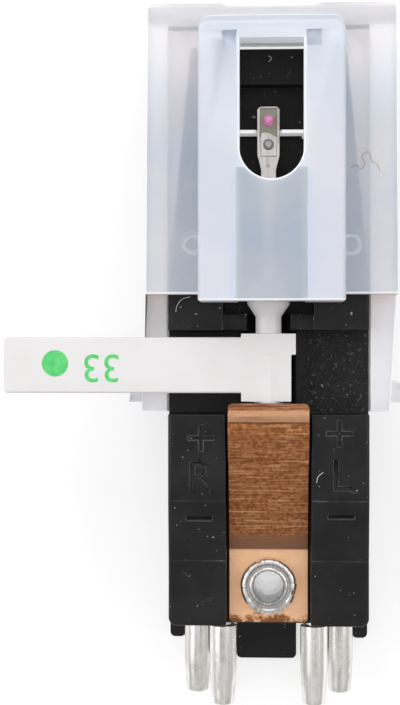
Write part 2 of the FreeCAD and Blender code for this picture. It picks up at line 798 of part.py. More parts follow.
def make_stylus_guard():
    body = new_body("stylus_guard")
    plan = guard_plan(GUARD_HALF, "0", "wing_skew", GUARD_FRONT, "wing_rear")
    pad(body, outline(body, "XY", plan, GUARD_TOP), f"{GUARD_TOP} - guard_base", reverse=True)
    draft_walls(body)
    # hollow under the shoulder plate that follows the housing, open at the rear and below
    inner_front = f"{GUARD_FRONT} - guard_front_wall"
    hollow = guard_plan("(body_width / 2 + guard_gap)", "-guard_shift", "0", inner_front, "wing_rear - 2")
    pocket(body, outline(body, "XY", hollow, GUARD_CEILING), f"{GUARD_CEILING} - guard_base + 1")
    draft_walls(body, inner=True)
    round_edges(body, "guard_round",
                lambda e: (along(e, Z_AXIS) and e.CenterOfMass.y > value("window_front"))
                or (along(e, X_AXIS) and near(e, y=value(GUARD_FRONT), z=value(GUARD_TOP))))
    over_wings = rectangle(body, "YZ", "wing_rear - 2", SHOULDER_REAR, WING_TOP, HUMP_TOP)
    pocket(body, over_wings, f"4 * {GUARD_HALF}", symmetric=True)
    # windowed hump with a groove under it for the stylus
    hump = [
        (HUMP_REAR, GUARD_CEILING),
        (HUMP_FRONT, GUARD_CEILING),
        (HUMP_FRONT, GUARD_TOP),
        (f"{HUMP_FRONT} - hump_slope", HUMP_TOP),
        (HUMP_REAR, HUMP_TOP),
    ]
    pad(body, outline(body, "YZ", hump), "hump_width", symmetric=True)
    slope_middle = value(f"{HUMP_FRONT} - hump_slope / 2")
    round_edges(body, "hump_corner", lambda e: near(e, y=slope_middle) and not along(e, X_AXIS))
    round_edges(body, "hump_round", lambda e: along(e, Y_AXIS) and near(e, z=value(HUMP_TOP)))
    half_groove = "groove_width / 2"
    groove = rectangle(body, "XY", f"-{half_groove}", half_groove, f"{HUMP_REAR} - 1",
                       "window_front + groove_lead", f"{HUMP_TOP} - hump_roof")
    pocket(body, groove, f"{HUMP_TOP} - hump_roof - guard_base")
    half_window = "window_width / 2"
    arch = f"window_rear + {half_window}"
    window = rectangle(body, "XY", f"-{half_window}", half_window, arch, "window_front", HUMP_TOP)
    pocket(body, window, f"{HUMP_TOP} - guard_base")
    pocket(body, circle(body, "XY", "0", arch, half_window, HUMP_TOP), f"{HUMP_TOP} - guard_base")
    for side in SIDES.values():
        pip = rectangle(body, "XY", f"{side} * ({half_window} + pip_gap)",
                        f"{side} * ({half_window} + pip_gap + pip_width)",
                        "window_front - pip_back", "window_front - pip_back + pip_length", HUMP_TOP)
        pocket(body, pip, "pip_depth")
        boss = circle(body, "XY", f"{side} * boss_x", "boss_y", "boss_radius", f"{DECK_TOP} + boss_gap")
        pad(body, boss, "guard_lift - boss_gap")
        root = f"{side} * ({GUARD_HALF} - guard_wall / 2) - wing_skew"
        catch_rear = "wing_rear + catch_set"
        catch_front = f"{catch_rear} + catch_length"
        catch = [
            (root, catch_rear),
            (f"{side} * ({GUARD_HALF} + catch_out) - wing_skew", catch_rear),
            (f"{side} * ({GUARD_HALF} + catch_out - catch_slant) - wing_skew", catch_front),
            (root, catch_front),
        ]
        pad(body, outline(body, "XY", catch, "catch_base"), "catch_top - catch_base")
    lip = [
        ("-lip_notch_half", f"{GUARD_FRONT} + 1"),
        ("-lip_notch_half", GUARD_FRONT),
        ("-lip_notch_half + lip_notch_depth * 2", f"{GUARD_FRONT} - lip_notch_depth"),
        ("lip_notch_half - lip_notch_depth * 2", f"{GUARD_FRONT} - lip_notch_depth"),
        ("lip_notch_half", GUARD_FRONT),
        ("lip_notch_half", f"{GUARD_FRONT} + 1"),
    ]
    pocket(body, outline(body, "XY", lip, HUMP_TOP), HUMP_TOP)
    bind(body, "Placement.Base.x", "guard_shift")
    return body


# Build every sub-part

pieces = [
    make_housing(),
    make_back_cover(),
    make_eyelet(),
    make_clip_spring(),
    make_turnover_lever(),
    make_stylus_arm(),
    make_tip("tip_fine", TIP_FINE_AT, True),
    make_tip("tip_coarse", TIP_COARSE_AT, False),
    make_coupling_yoke(),
    make_stylus_guard(),
]
for name, side in SIDES.items():
    element = make_element(name, side)
    pieces.append(element)
    pieces.append(make_rubber("clamp", name, side, element, BAY_OUTER))
    pieces.append(make_rubber("damper", name, side, element, BAY_OUTER_FRONT))
    pieces.append(make_pin(f"pin_{name}_plus", side, "near"))
    pieces.append(make_pin(f"pin_{name}_minus", side, "far"))
doc.recompute()

# Check the document, then write one file for each sub-part

for item in doc.Objects:
    if "Invalid" in item.State or "Error" in item.State:
        raise RuntimeError(f"{item.Label} failed: {item.State}")
os.makedirs("parts", exist_ok=True)
for piece in pieces:
    if piece.Shape.isNull() or not piece.Shape.isValid() or len(piece.Shape.Solids) != 1:
        raise RuntimeError(f"{piece.Label} is not one valid solid")
    piece.Shape.exportStep(f"parts/{piece.Label}.step")
    box = piece.Shape.BoundBox
    print(f"{piece.Label}: {piece.Shape.Volume:.2f} mm3, x {box.XMin:.2f}..{box.XMax:.2f}, "
          f"y {box.YMin:.2f}..{box.YMax:.2f}, z {box.ZMin:.2f}..{box.ZMax:.2f}")
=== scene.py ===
import logging
import math
from collections.abc import Callable
from dataclasses import dataclass
from enum import Enum, IntEnum
from functools import partial, reduce

import bmesh
import bpy
from mathutils import Matrix, Vector


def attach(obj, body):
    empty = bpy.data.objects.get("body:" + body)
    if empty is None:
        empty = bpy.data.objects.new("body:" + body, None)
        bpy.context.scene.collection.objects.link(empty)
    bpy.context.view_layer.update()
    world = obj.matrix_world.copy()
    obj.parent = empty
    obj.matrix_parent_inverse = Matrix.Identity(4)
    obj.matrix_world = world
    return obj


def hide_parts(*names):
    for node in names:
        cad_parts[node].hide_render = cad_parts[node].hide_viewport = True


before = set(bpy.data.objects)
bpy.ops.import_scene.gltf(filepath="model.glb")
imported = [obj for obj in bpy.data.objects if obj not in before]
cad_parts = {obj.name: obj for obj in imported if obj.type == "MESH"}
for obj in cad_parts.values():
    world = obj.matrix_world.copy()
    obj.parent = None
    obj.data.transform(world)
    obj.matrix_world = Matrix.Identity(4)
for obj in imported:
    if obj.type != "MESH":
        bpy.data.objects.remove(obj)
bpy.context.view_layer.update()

# Looks of a stereo ceramic turnover cartridge, lying on its mounting face with the stylus side up.
# Lengths are written in millimetres and turned into the frame's metres by MM.

MM = 0.001
LOG = logging.getLogger("cartridge")

Colour = tuple[float, float, float, float]
Point = tuple[float, float, float]
Pair = tuple[float, float]
Node = bpy.types.Node
Output = bpy.types.NodeSocket
Outputs = bpy.types.bpy_prop_collection
Edit = bmesh.types.BMesh


class Body(Enum):
    """The rigid bodies that pieces ride on."""

    CARTRIDGE = "cartridge"
    STYLUS = "stylus"
    GUARD = "guard"


class Slot(Enum):
    """The record's material slots."""

    BLACK = "black_plastic"
    SPRING = "spring_copper"
    EYELET = "eyelet_metal"
    WHITE = "white_plastic"
    ARM = "arm_aluminium"
    PINK = "tip_pink"
    GREY = "tip_grey"
    YOKE = "yoke_plastic"
    GUARD = "guard_plastic"
    PIN = "pin_plating"


class Socket(Enum):
    """Kinds of group sockets, with the names that the interface gives them."""

    VALUE = "NodeSocketFloat"
    VECTOR = "NodeSocketVector"


class Mark(Enum):
    """The polarity signs and channel letters on the cheeks."""

    PLUS = "+"
    MINUS = "-"
    LEFT = "L"
    RIGHT = "R"


class ShellPart(IntEnum):
    """Parts of the guard, each the place of its finish in the mesh's list."""

    ROOF = 0
    RAIL = 1
    BEAD = 2
    WING = 3


class Bead(Enum):
    """Share of the bead's full width that an edge of the guard gets."""

    NONE = 0.0
    FRONT = 0.3
    PLAIN = 0.5
    WINDOW = 0.75
    REAR = 1.0


def grey(level: float) -> Colour:
    """Give an opaque neutral colour."""
    return (level, level, level, 1.0)


# Node wiring and shared effects

NUMBER_SUMS = ("LENGTH", "DOT_PRODUCT")


class Wiring:
    """Adds and joins the nodes of one tree."""

    def __init__(self, tree: bpy.types.NodeTree) -> None:
        """Hold the tree that is being wired."""
        self.tree = tree

    def node(self, kind: str, **settings: object) -> Node:
        """Add one node and set its properties.

        Args:
            kind: the node's full type name.
            settings: properties of the node.

        Returns:
            The new node.
        """
        made = self.tree.nodes.new(kind)
        for key, setting in settings.items():
            setattr(made, key, setting)
        return made

    def feed(self, socket: bpy.types.NodeSocket, source: object) -> None:
        """Link an input to an output, or set its own value.

        Args:
            socket: the input to feed.
            source: an output, or a plain value.
        """
        if isinstance(source, bpy.types.NodeSocket):
            self.tree.links.new(source, socket)
        else:
            socket.default_value = source

    def fill(self, node: Node, sources: dict[str | int, object]) -> None:
        """Feed several inputs of a node.

        Args:
            node: the node.
            sources: an output or a plain value for each input, by its name or place.
        """
        for key, source in sources.items():
            self.feed(node.inputs[key], source)

    def maths(self, operation: str, first: object, second: object = 0.0) -> Output:
        """Work out one sum.

        Args:
            operation: the sum's name.
            first: an output or number.
            second: an output or number.

        Returns:
            The result.
        """
        made = self.node("ShaderNodeMath", operation=operation)
        self.fill(made, {0: first, 1: second})
        return made.outputs[0]

    def plus(self, first: object, second: object) -> Output:
        """Add two values."""
        return self.maths("ADD", first, second)

    def times(self, first: object, second: object) -> Output:
        """Multiply two values."""
        return self.maths("MULTIPLY", first, second)

    def most(self, *masks: object) -> Output:
        """Take the largest of some values at each point."""
        return reduce(partial(self.maths, "MAXIMUM"), masks)

    def gap(self, source: object, mark: float) -> Output:
        """Measure how far a length lies from a mark in millimetres."""
        return self.maths("ABSOLUTE", self.maths("SUBTRACT", source, mark * MM))

    def vectors(self, operation: str, first: object, second: object = (0.0, 0.0, 0.0)) -> Output:
        """Work out one sum with vectors.

        Args:
            operation: the sum's name.
            first: an output or vector.
            second: an output or vector.

        Returns:
            The result, a number for a length or dot product.
        """
        made = self.node("ShaderNodeVectorMath", operation=operation)
        self.fill(made, {0: first, 1: second})
        return made.outputs["Value" if operation in NUMBER_SUMS else "Vector"]

    def spread(self, source: object, low: float, high: float, bottom: float = 0.0,
               top: float = 1.0) -> Output:
        """Map a value from one range to another, smoothly and clamped.

        Args:
            source: the value.
            low: the value that gives bottom.
            high: the value that gives top.
            bottom: the result at low.
            top: the result at high.

        Returns:
            The result.
        """
        made = self.node("ShaderNodeMapRange", interpolation_type="SMOOTHSTEP")
        self.fill(made, {"Value": source, "From Min": low, "From Max": high, "To Min": bottom, "To Max": top})
        return made.outputs["Result"]

    def ranged(self, mask: object, bottom: float, top: float) -> Output:
        """Map a mask's whole range to another."""
        return self.spread(mask, 0.0, 1.0, bottom, top)

    def ramp(self, source: object, start: float, end: float, bottom: float = 0.0,
             top: float = 1.0) -> Output:
        """Map a length between two marks in millimetres, as spread does."""
        return self.spread(source, start * MM, end * MM, bottom, top)

    def within(self, source: object, low: float, high: float, soft: float) -> Output:
        """Give 1 where a length lies between two marks, in millimetres, and 0 outside.

        Args:
            source: the length, in metres.
            low: the lower mark.
            high: the upper mark.
            soft: half the width of the fade at each mark.

        Returns:
            The mask.
        """
        rise = self.ramp(source, low - soft, low + soft)
        fall = self.ramp(source, high - soft, high + soft, 1.0, 0.0)
        return self.times(rise, fall)

    def blend(self, share: object, first: object, second: object) -> Output:
        """Mix two colours.

        Args:
            share: how much of the second shows.
            first: a colour or output.
            second: a colour or output.

        Returns:
            The mixed colour.
        """
        made = self.node("ShaderNodeMix", data_type="RGBA")
        self.fill(made, {"Factor": share, 6: first, 7: second})
        return made.outputs[2]

    def place(self) -> Output:
        """Give the surface point in the part's own frame."""
        return self.node("ShaderNodeTexCoord").outputs["Object"]

    def axes(self, vector: Output) -> list[Output]:
        """Split a vector into its three parts.

        Args:
            vector: the vector.

        Returns:
            Its X, Y and Z.
        """
        made = self.node("ShaderNodeSeparateXYZ")
        self.feed(made.inputs[0], vector)
        return list(made.outputs)

    def reach(self, vector: Output, middle: Pair) -> Output:
        """Measure how far a point lies from an upright axis.

        Args:
            vector: the point.
            middle: the axis's X and Y in millimetres.

        Returns:
            The distance, in metres.
        """
        x, y = middle
        flat = self.vectors("MULTIPLY", vector, (1.0, 1.0, 0.0))
        return self.vectors("LENGTH", self.vectors("SUBTRACT", flat, (x * MM, y * MM, 0.0)))

    def noise(self, vector: object, scale: object, detail: float = 3.0, rough: float = 0.55) -> Output:
        """Give a soft cloudy value about one half.

        Args:
            vector: where to look it up.
            scale: cells per metre.
            detail: octaves.
            rough: how strongly the finer octaves show.

        Returns:
            The value.
        """
        made = self.node("ShaderNodeTexNoise")
        self.fill(made, {"Vector": vector, "Scale": scale, "Detail": detail, "Roughness": rough})
        return made.outputs["Fac"]

    def relief(self, shader: Node, height: Output, depth: float, strength: float = 1.0) -> None:
        """Feed a height into a shader's normal.

        Args:
            shader: the Principled node.
            height: the height, from 0 to 1.
            depth: what 1 stands for, in millimetres.
            strength: how strongly it shows.
        """
        bump = self.node("ShaderNodeBump")
        self.fill(bump, {"Strength": strength, "Distance": depth * MM, "Height": height})
        self.feed(shader.inputs["Normal"], bump.outputs[0])


@dataclass(frozen=True)
class Effect:
    """A shader node group that several finishes share, with one value as its output."""

    title: str
    inputs: tuple[tuple[str, Socket, object], ...]
    output: str

    def wire(self, wiring: Wiring, given: Outputs) -> Output:
        """Wire the inside of the group.

        Args:
            wiring: the group's wiring.
            given: the group's inputs, by name.

        Returns:
            What the group puts out.
        """
        raise NotImplementedError

    def tree(self) -> bpy.types.NodeTree:
        """Build the group once, or find it again.

        Returns:
            The group's node tree.
        """
        if self.title in bpy.data.node_groups:
            return bpy.data.node_groups[self.title]
        tree = bpy.data.node_groups.new(self.title, "ShaderNodeTree")
        for name, kind, start in self.inputs:
            socket = tree.interface.new_socket(name, in_out="INPUT", socket_type=kind.value)
            socket.default_value = start
        tree.interface.new_socket(self.output, in_out="OUTPUT", socket_type=Socket.VALUE.value)
        wiring = Wiring(tree)
        given = wiring.node("NodeGroupInput").outputs
        leave = wiring.node("NodeGroupOutput")
        wiring.feed(leave.inputs[self.output], self.wire(wiring, given))
        return tree

    def add(self, wiring: Wiring, **values: object) -> Output:
        """Place the group in a material with its own values.

        Args:
            wiring: the material's wiring.
            values: an output or number for each input, by name.

        Returns:
            What the group puts out.
        """
        made = wiring.node("ShaderNodeGroup", node_tree=self.tree())
        wiring.fill(made, values)
        return made.outputs[self.output]


@dataclass(frozen=True)
class Mottle(Effect):
    """Cloudy unevenness of a colour."""

    octaves: float = 4.0
    rough: float = 0.6
    contrast: Pair = (0.32, 0.68)

    def wire(self, wiring: Wiring, given: Outputs) -> Output:
        """Spread one noise over the full range."""
        cloud = wiring.noise(given["Vector"], given["Scale"], self.octaves, self.rough)
        return wiring.spread(cloud, *self.contrast)


@dataclass(frozen=True)
class Grain(Effect):
    """Fine moulded or cast surface relief."""

    octaves: float = 2.0
    finer: float = 3.7
    fine_share: float = 0.5

    def wire(self, wiring: Wiring, given: Outputs) -> Output:
        """Add a fine noise to a coarse one.

        Args:
            wiring: the group's wiring.
            given: the group's inputs, by name.

        Returns:
            The relief's height.
        """
        coarse = wiring.noise(given["Vector"], given["Scale"], self.octaves)
        fine = wiring.noise(given["Vector"], wiring.times(given["Scale"], self.finer), self.octaves)
        return wiring.plus(coarse, wiring.times(fine, self.fine_share))


@dataclass(frozen=True)
class Speckle(Effect):
    """Scattered specks of dust or stain."""

    swirl_scale: float = 2.5
    swirl: float = 0.45
    least_radius: float = 0.001
    core: float = 0.6

    def wire(self, wiring: Wiring, given: Outputs) -> Output:
        """Keep a share of the cells and draw an uneven spot in each.

        Args:
            wiring: the group's wiring.
            given: the group's inputs, by name.

        Returns:
            The specks' mask.
        """
        place = given["Vector"]
        scale = given["Scale"]
        cloud = wiring.node("ShaderNodeTexNoise")
        wiring.fill(cloud, {"Vector": place, "Scale": wiring.times(scale, self.swirl_scale)})
        push = wiring.vectors("MULTIPLY", cloud.outputs["Color"], wiring.maths("DIVIDE", self.swirl, scale))
        cells = wiring.node("ShaderNodeTexVoronoi")
        wiring.fill(cells, {"Vector": wiring.vectors("ADD", place, push), "Scale": scale})
        lots = wiring.node("ShaderNodeSeparateColor")
        wiring.feed(lots.inputs[0], cells.outputs["Color"])
        kept = wiring.maths("LESS_THAN", lots.outputs[0], given["Density"])
        radius = wiring.plus(wiring.times(given["Size"], lots.outputs[1]), self.least_radius)
        ratio = wiring.maths("DIVIDE", cells.outputs["Distance"], radius)
        return wiring.times(kept, wiring.spread(ratio, self.core, 1.0, 1.0, 0.0))


@dataclass(frozen=True)
class Scuffs(Effect):
    """Short hairline scratches that wander over a surface."""

    contour: float = 0.5
    patch_scale: float = 1.9
    patch_edge: Pair = (0.57, 0.66)

    def wire(self, wiring: Wiring, given: Outputs) -> Output:
        """Keep stretches of a noise's contour lines.

        Args:
            wiring: the group's wiring.
            given: the group's inputs, by name.

        Returns:
            The scratches' mask.
        """
        cloud = wiring.noise(given["Vector"], given["Scale"], detail=1.0)
        line = wiring.maths("ABSOLUTE", wiring.maths("SUBTRACT", cloud, self.contour))
        thin = wiring.maths("LESS_THAN", line, given["Width"])
        patch = wiring.noise(given["Vector"], wiring.times(given["Scale"], self.patch_scale), detail=2.0)
        return wiring.times(thin, wiring.spread(patch, *self.patch_edge))


@dataclass(frozen=True)
class EdgeWear(Effect):
    """Rubbed, lighter edges with uneven breaks."""

    samples: int = 6
    bend: Pair = (0.02, 0.16)
    patch_edge: Pair = (0.3, 0.6)
    least: float = 0.25

    def wire(self, wiring: Wiring, given: Outputs) -> Output:
        """Compare the rounded normal with the true one, and break the edge up.

        Args:
            wiring: the group's wiring.
            given: the group's inputs, by name.

        Returns:
            The worn edges' mask.
        """
        rounded = wiring.node("ShaderNodeBevel", samples=self.samples)
        wiring.feed(rounded.inputs["Radius"], given["Radius"])
        normal = wiring.node("ShaderNodeNewGeometry").outputs["Normal"]
        alike = wiring.vectors("DOT_PRODUCT", rounded.outputs[0], normal)
        edge = wiring.spread(wiring.maths("SUBTRACT", 1.0, alike), *self.bend)
        patch = wiring.noise(given["Vector"], given["Scale"])
        return wiring.times(edge, wiring.spread(patch, *self.patch_edge, self.least, 1.0))


@dataclass(frozen=True)
class Drawn(Effect):
    """Lines left by brushing, rolling or drawing, along one direction."""

    octaves: float = 5.0
    rough: float = 0.7
    contrast: Pair = (0.3, 0.7)

    def wire(self, wiring: Wiring, given: Outputs) -> Output:
        """Look a noise up in stretched space.

        Args:
            wiring: the group's wiring.
            given: the group's inputs, by name.

        Returns:
            The lines' value.
        """
        place = wiring.vectors("MULTIPLY", given["Vector"], given["Stretch"])
        lines = wiring.noise(place, 1.0, self.octaves, self.rough)
        return wiring.spread(lines, *self.contrast)


VECTOR_IN = ("Vector", Socket.VECTOR, (0.0, 0.0, 0.0))
SCALE_IN = ("Scale", Socket.VALUE, 1000.0)
DENSITY_IN = ("Density", Socket.VALUE, 0.1)
SIZE_IN = ("Size", Socket.VALUE, 0.3)
WIDTH_IN = ("Width", Socket.VALUE, 0.004)
RADIUS_IN = ("Radius", Socket.VALUE, 0.1 * MM)
STRETCH_IN = ("Stretch", Socket.VECTOR, (1.0, 1.0, 1.0))
MOTTLE = Mottle("mottle", (VECTOR_IN, SCALE_IN), "Value")
GRAIN = Grain("grain", (VECTOR_IN, SCALE_IN), "Height")
SPECKLE = Speckle("speckle", (VECTOR_IN, SCALE_IN, DENSITY_IN, SIZE_IN), "Mask")
SCUFFS = Scuffs("scuffs", (VECTOR_IN, SCALE_IN, WIDTH_IN), "Mask")
EDGE_WEAR = EdgeWear("edge_wear", (VECTOR_IN, SCALE_IN, RADIUS_IN), "Mask")
DRAWN = Drawn("drawn_lines", (VECTOR_IN, STRETCH_IN), "Value")


# Finishes


@dataclass(frozen=True)
class Specks:
    """One layer of specks: cells per metre, the share of them kept and a spot's size in its cell."""

    scale: float
    density: float
    size: float

    def mask(self, wiring: Wiring, place: Output) -> Output:
        """Place the speckle group with these values."""
        return SPECKLE.add(wiring, Vector=place, Scale=self.scale, Density=self.density, Size=self.size)


@dataclass(frozen=True)
class Finish:
    """One finish: a Principled material that a sub-class wires."""

    name: str
    specular: float = 0.5
    metallic: float = 0.0

    def wire(self, wiring: Wiring, shader: Node) -> None:
        """Wire the finish into its shader.

        Args:
            wiring: the material's wiring.
            shader: the material's Principled node.
        """
        raise NotImplementedError

    def material(self) -> bpy.types.Material:
        """Build the material once, or find it again.

        Returns:
            The material.
        """
        if self.name in bpy.data.materials:
            return bpy.data.materials[self.name]
        made = bpy.data.materials.new(self.name)
        made.use_nodes = True
        wiring = Wiring(made.node_tree)
        shader = made.node_tree.nodes["Principled BSDF"]
        wiring.fill(shader, {"Specular IOR Level": self.specular, "Metallic": self.metallic})
        self.wire(wiring, shader)
        return made


@dataclass(frozen=True)
class BlackMoulding(Finish):
    """Satin black thermoplastic with dust, scuffs, rubbed edges, painted highlight lines where the cheeks
    change slope, and a wrinkled recess.
    """

    specular: float = 0.25
    base: Colour = (0.0056, 0.0053, 0.0054, 1.0)
    faded: Colour = (0.0115, 0.0107, 0.0109, 1.0)
    pale_marks: Colour = (0.13, 0.127, 0.127, 1.0)
    dust: Colour = (0.42, 0.41, 0.40, 1.0)
    wear_share: float = 0.8
    scuff_share: float = 0.4
    fold_share: float = 0.45
    dust_share: float = 0.62
    dust_layers: tuple[Specks, ...] = (Specks(2300.0, 0.5, 0.14), Specks(5000.0, 0.12, 0.2),
                                       Specks(900.0, 0.8, 0.09))
    rough: Pair = (0.38, 0.5)
    dust_rough: float = 0.3
    grain_share: float = 0.16
    facet_lines: Pair = (1.5, 4.9)
    facet_half: float = 0.03
    facet_level: float = 7.9
    facet_cloud: Pair = (0.2, 0.9)
    facet_share: Pair = (0.1, 0.5)
    recess_side: float = 1.7
    recess_fade: float = 0.6
    recess_along: Pair = (9.7, 14.2)
    recess_level: float = 7.15
    soft: float = 0.1

    def wire(self, wiring: Wiring, shader: Node) -> None:
        """Wire the moulding's colour, gloss and relief.

        Args:
            wiring: the material's wiring.
            shader: the material's Principled node.
        """
        place = wiring.place()
        cloud = MOTTLE.add(wiring, Vector=place, Scale=420.0)
        wear = EDGE_WEAR.add(wiring, Vector=place, Scale=900.0, Radius=0.11 * MM)
        marks = SCUFFS.add(wiring, Vector=place, Scale=330.0, Width=0.0022)
        folds = self.folds(wiring, place)
        # Edge wear and scuffs are real rubbing; the facet lines are painted highlights; the wrinkles' crests
        # are painted lighter as well.
        pale_mask = wiring.most(
            wiring.times(wear, self.wear_share),
            wiring.times(marks, self.scuff_share),
            self.facet_highlights(wiring, place, cloud),
            wiring.spread(folds, low=0.4, high=1.0, top=self.fold_share),
        )
        colour = wiring.blend(pale_mask, wiring.blend(cloud, self.base, self.faded), self.pale_marks)
        dusty = wiring.most(*[layer.mask(wiring, place) for layer in self.dust_layers])
        colour = wiring.blend(wiring.times(dusty, self.dust_share), colour, self.dust)
        rough = wiring.plus(wiring.ranged(cloud, *self.rough), wiring.times(dusty, self.dust_rough))
        wiring.fill(shader, {"Base Color": colour, "Roughness": rough})
        grain = GRAIN.add(wiring, Vector=place, Scale=5200.0)
        wiring.relief(shader, wiring.plus(wiring.times(grain, self.grain_share), folds), depth=0.05)

    def facet_highlights(self, wiring: Wiring, place: Output, cloud: Output) -> Output:
        """Paint faint highlight lines where the cheeks change slope.

        Args:
            wiring: the material's wiring.
            place: the surface point.
            cloud: an uneven value that breaks the lines up.

        Returns:
            The lines' mask.
        """
        along, up = wiring.axes(place)[1:]
        half = self.facet_half
        lines = wiring.most(*[wiring.within(along, at - half, at + half, half) for at in self.facet_lines])
        high = wiring.ramp(up, self.facet_level, self.facet_level + self.soft)
        broken = wiring.spread(cloud, *self.facet_cloud, *self.facet_share)
        return wiring.times(wiring.times(lines, high), broken)

    def folds(self, wiring: Wiring, place: Output) -> Output:
        """Wrinkle the recess floor beside the lever.

        Args:
            wiring: the material's wiring.
            place: the surface point.

        Returns:
            The wrinkles' height.
        """
        across, along, up = wiring.axes(place)
        side = wiring.ramp(across, self.recess_side, self.recess_side + self.recess_fade)
        area = wiring.times(side, wiring.within(along, *self.recess_along, self.soft))
        low = wiring.ramp(up, self.recess_level, self.recess_level + self.soft, 1.0, 0.0)
        wrinkles = wiring.noise(place, scale=3600.0, detail=4.0, rough=0.7)
        return wiring.times(wiring.spread(wrinkles, low=0.44, high=0.68), wiring.times(area, low))


@dataclass(frozen=True)
class CopperStrip(Finish):
    """Copper spring strip: clean foot, darker bend, brushed brown slope, bright lip and a painted line of
    shade in the lip's crease.

    The slope's bright and dark lines each have the values where they start and where they are full, and
    their share.
    """

    metallic: float = 1.0
    clean: Colour = (0.97, 0.60, 0.365, 1.0)
    brown: Colour = (0.24, 0.080, 0.026, 1.0)
    worn: Colour = (0.48, 0.195, 0.074, 1.0)
    bright: Colour = (0.95, 0.62, 0.39, 1.0)
    crest: Colour = (0.47, 0.265, 0.155, 1.0)
    stain_and_shade: Colour = (0.14, 0.048, 0.02, 1.0)
    rust: Colour = (0.36, 0.12, 0.028, 1.0)
    band: Colour = (0.26, 0.135, 0.088, 1.0)
    rusty_along: Pair = (-2.0, -1.1)
    rusty_push: Pair = (0.2, -0.12)
    rusty_edge: Pair = (0.56, 0.72)
    rust_share: float = 0.9
    foot_worn: float = 0.14
    bend_along: Pair = (1.96, 2.06)
    bend_worn: float = 0.3
    slope_along: Pair = (2.8, 3.25)
    slope_wander: float = 0.3
    slope_worn: Pair = (0.1, 0.95)
    fine_stretch: Point = (650.0, 10000.0, 10000.0)
    fine_bright: Point = (0.62, 1.0, 0.4)
    fine_dark: Point = (0.35, 0.0, 0.45)
    long_stretch: Point = (110.0, 7000.0, 7000.0)
    long_bright: Point = (0.8, 1.0, 0.6)
    long_dark: Point = (0.2, 0.0, 0.65)
    crease: Pair = (9.17, 9.24)
    crease_share: float = 0.8
    lip_front: float = 9.86
    lip_roll: float = 0.12
    lip_brown: float = 0.5
    wear_share: float = 0.55
    rough: Pair = (0.34, 0.5)

    def wire(self, wiring: Wiring, shader: Node) -> None:
        """Wire the strip's zones along its length.

        Args:
            wiring: the material's wiring.
            shader: the material's Principled node.
        """
        place = wiring.place()
        along = wiring.axes(place)[1]
        cloud = MOTTLE.add(wiring, Vector=place, Scale=620.0)
        fine = DRAWN.add(wiring, Vector=place, Stretch=self.fine_stretch)
        band = wiring.blend(wiring.times(fine, self.bend_worn), self.band, self.worn)
        foot = self.foot(wiring, place, along, cloud)
        colour = wiring.blend(wiring.ramp(along, *self.bend_along), foot, band)
        uneven = wiring.plus(along, wiring.times(cloud, self.slope_wander * MM))
        colour = wiring.blend(wiring.ramp(uneven, *self.slope_along), colour, self.slope(wiring, place, fine))
        colour = self.lip(wiring, along, colour, fine, cloud)
        wear = EDGE_WEAR.add(wiring, Vector=place, Scale=900.0, Radius=0.07 * MM)
        colour = wiring.blend(wiring.times(wear, self.wear_share), colour, self.clean)
        wiring.fill(shader, {"Base Color": colour, "Roughness": wiring.ranged(fine, *self.rough)})
        wiring.relief(shader, fine, depth=0.012, strength=0.6)

    def foot(self, wiring: Wiring, place: Output, along: Output, cloud: Output) -> Output:
        """Colour the flat foot, clean but for stains along its rear edge.

        Args:
            wiring: the material's wiring.
            place: the surface point.
            along: the distance along the strip.
            cloud: an uneven value.

        Returns:
            The foot's colour.
        """
        colour = wiring.blend(wiring.times(cloud, self.foot_worn), self.clean, self.worn)
        ragged = wiring.noise(place, scale=1700.0, detail=6.0, rough=0.75)
        near_rear = wiring.ramp(along, *self.rusty_along, *self.rusty_push)
        spots = wiring.spread(wiring.plus(ragged, near_rear), *self.rusty_edge)
        colour = wiring.blend(wiring.times(spots, self.rust_share), colour, self.rust)
        return wiring.blend(wiring.spread(spots, low=0.8, high=1.0, top=0.5), colour, self.stain_and_shade)

    def slope(self, wiring: Wiring, place: Output, fine: Output) -> Output:
        """Colour the brushed slope, with bright and dark lines across it.

        Args:
            wiring: the material's wiring.
            place: the surface point.
            fine: the fine drawn lines.

        Returns:
            The slope's colour.
        """
        patch = MOTTLE.add(wiring, Vector=place, Scale=4600.0)
        long = DRAWN.add(wiring, Vector=place, Stretch=self.long_stretch)
        colour = wiring.blend(wiring.ranged(patch, *self.slope_worn), self.brown, self.worn)
        for lines, (start, full, share), tone in (
            (fine, self.fine_bright, self.bright),
            (fine, self.fine_dark, self.stain_and_shade),
            (long, self.long_bright, self.bright),
            (long, self.long_dark, self.stain_and_shade),
        ):
            colour = wiring.blend(wiring.spread(lines, start, full, top=share), colour, tone)
        return colour

    def lip(self, wiring: Wiring, along: Output, colour: Output, fine: Output, cloud: Output) -> Output:
        """Brighten the curled lip in front of its crease, and paint a line of shade along the crease.

        Args:
            wiring: the material's wiring.
            along: the distance along the strip.
            colour: the colour behind the lip.
            fine: the fine drawn lines.
            cloud: an uneven value.

        Returns:
            The strip's whole colour.
        """
        top = wiring.within(along, self.crease[1], self.lip_front, soft=0.05)
        lined = wiring.spread(fine, low=0.0, high=0.6, bottom=0.6)
        colour = wiring.blend(wiring.times(top, lined), colour, self.crest)
        curled = wiring.blend(wiring.spread(fine, low=0.2, high=0.9), self.stain_and_shade, self.crest)
        curled = wiring.blend(wiring.times(cloud, self.lip_brown), curled, self.brown)
        roll = wiring.ramp(along, self.lip_front, self.lip_front + self.lip_roll)
        colour = wiring.blend(roll, colour, curled)
        # Painted shade: a dark line along the crease behind the lip.
        crease = wiring.within(along, *self.crease, soft=0.02)
        return wiring.blend(wiring.times(crease, self.crease_share), colour, self.stain_and_shade)


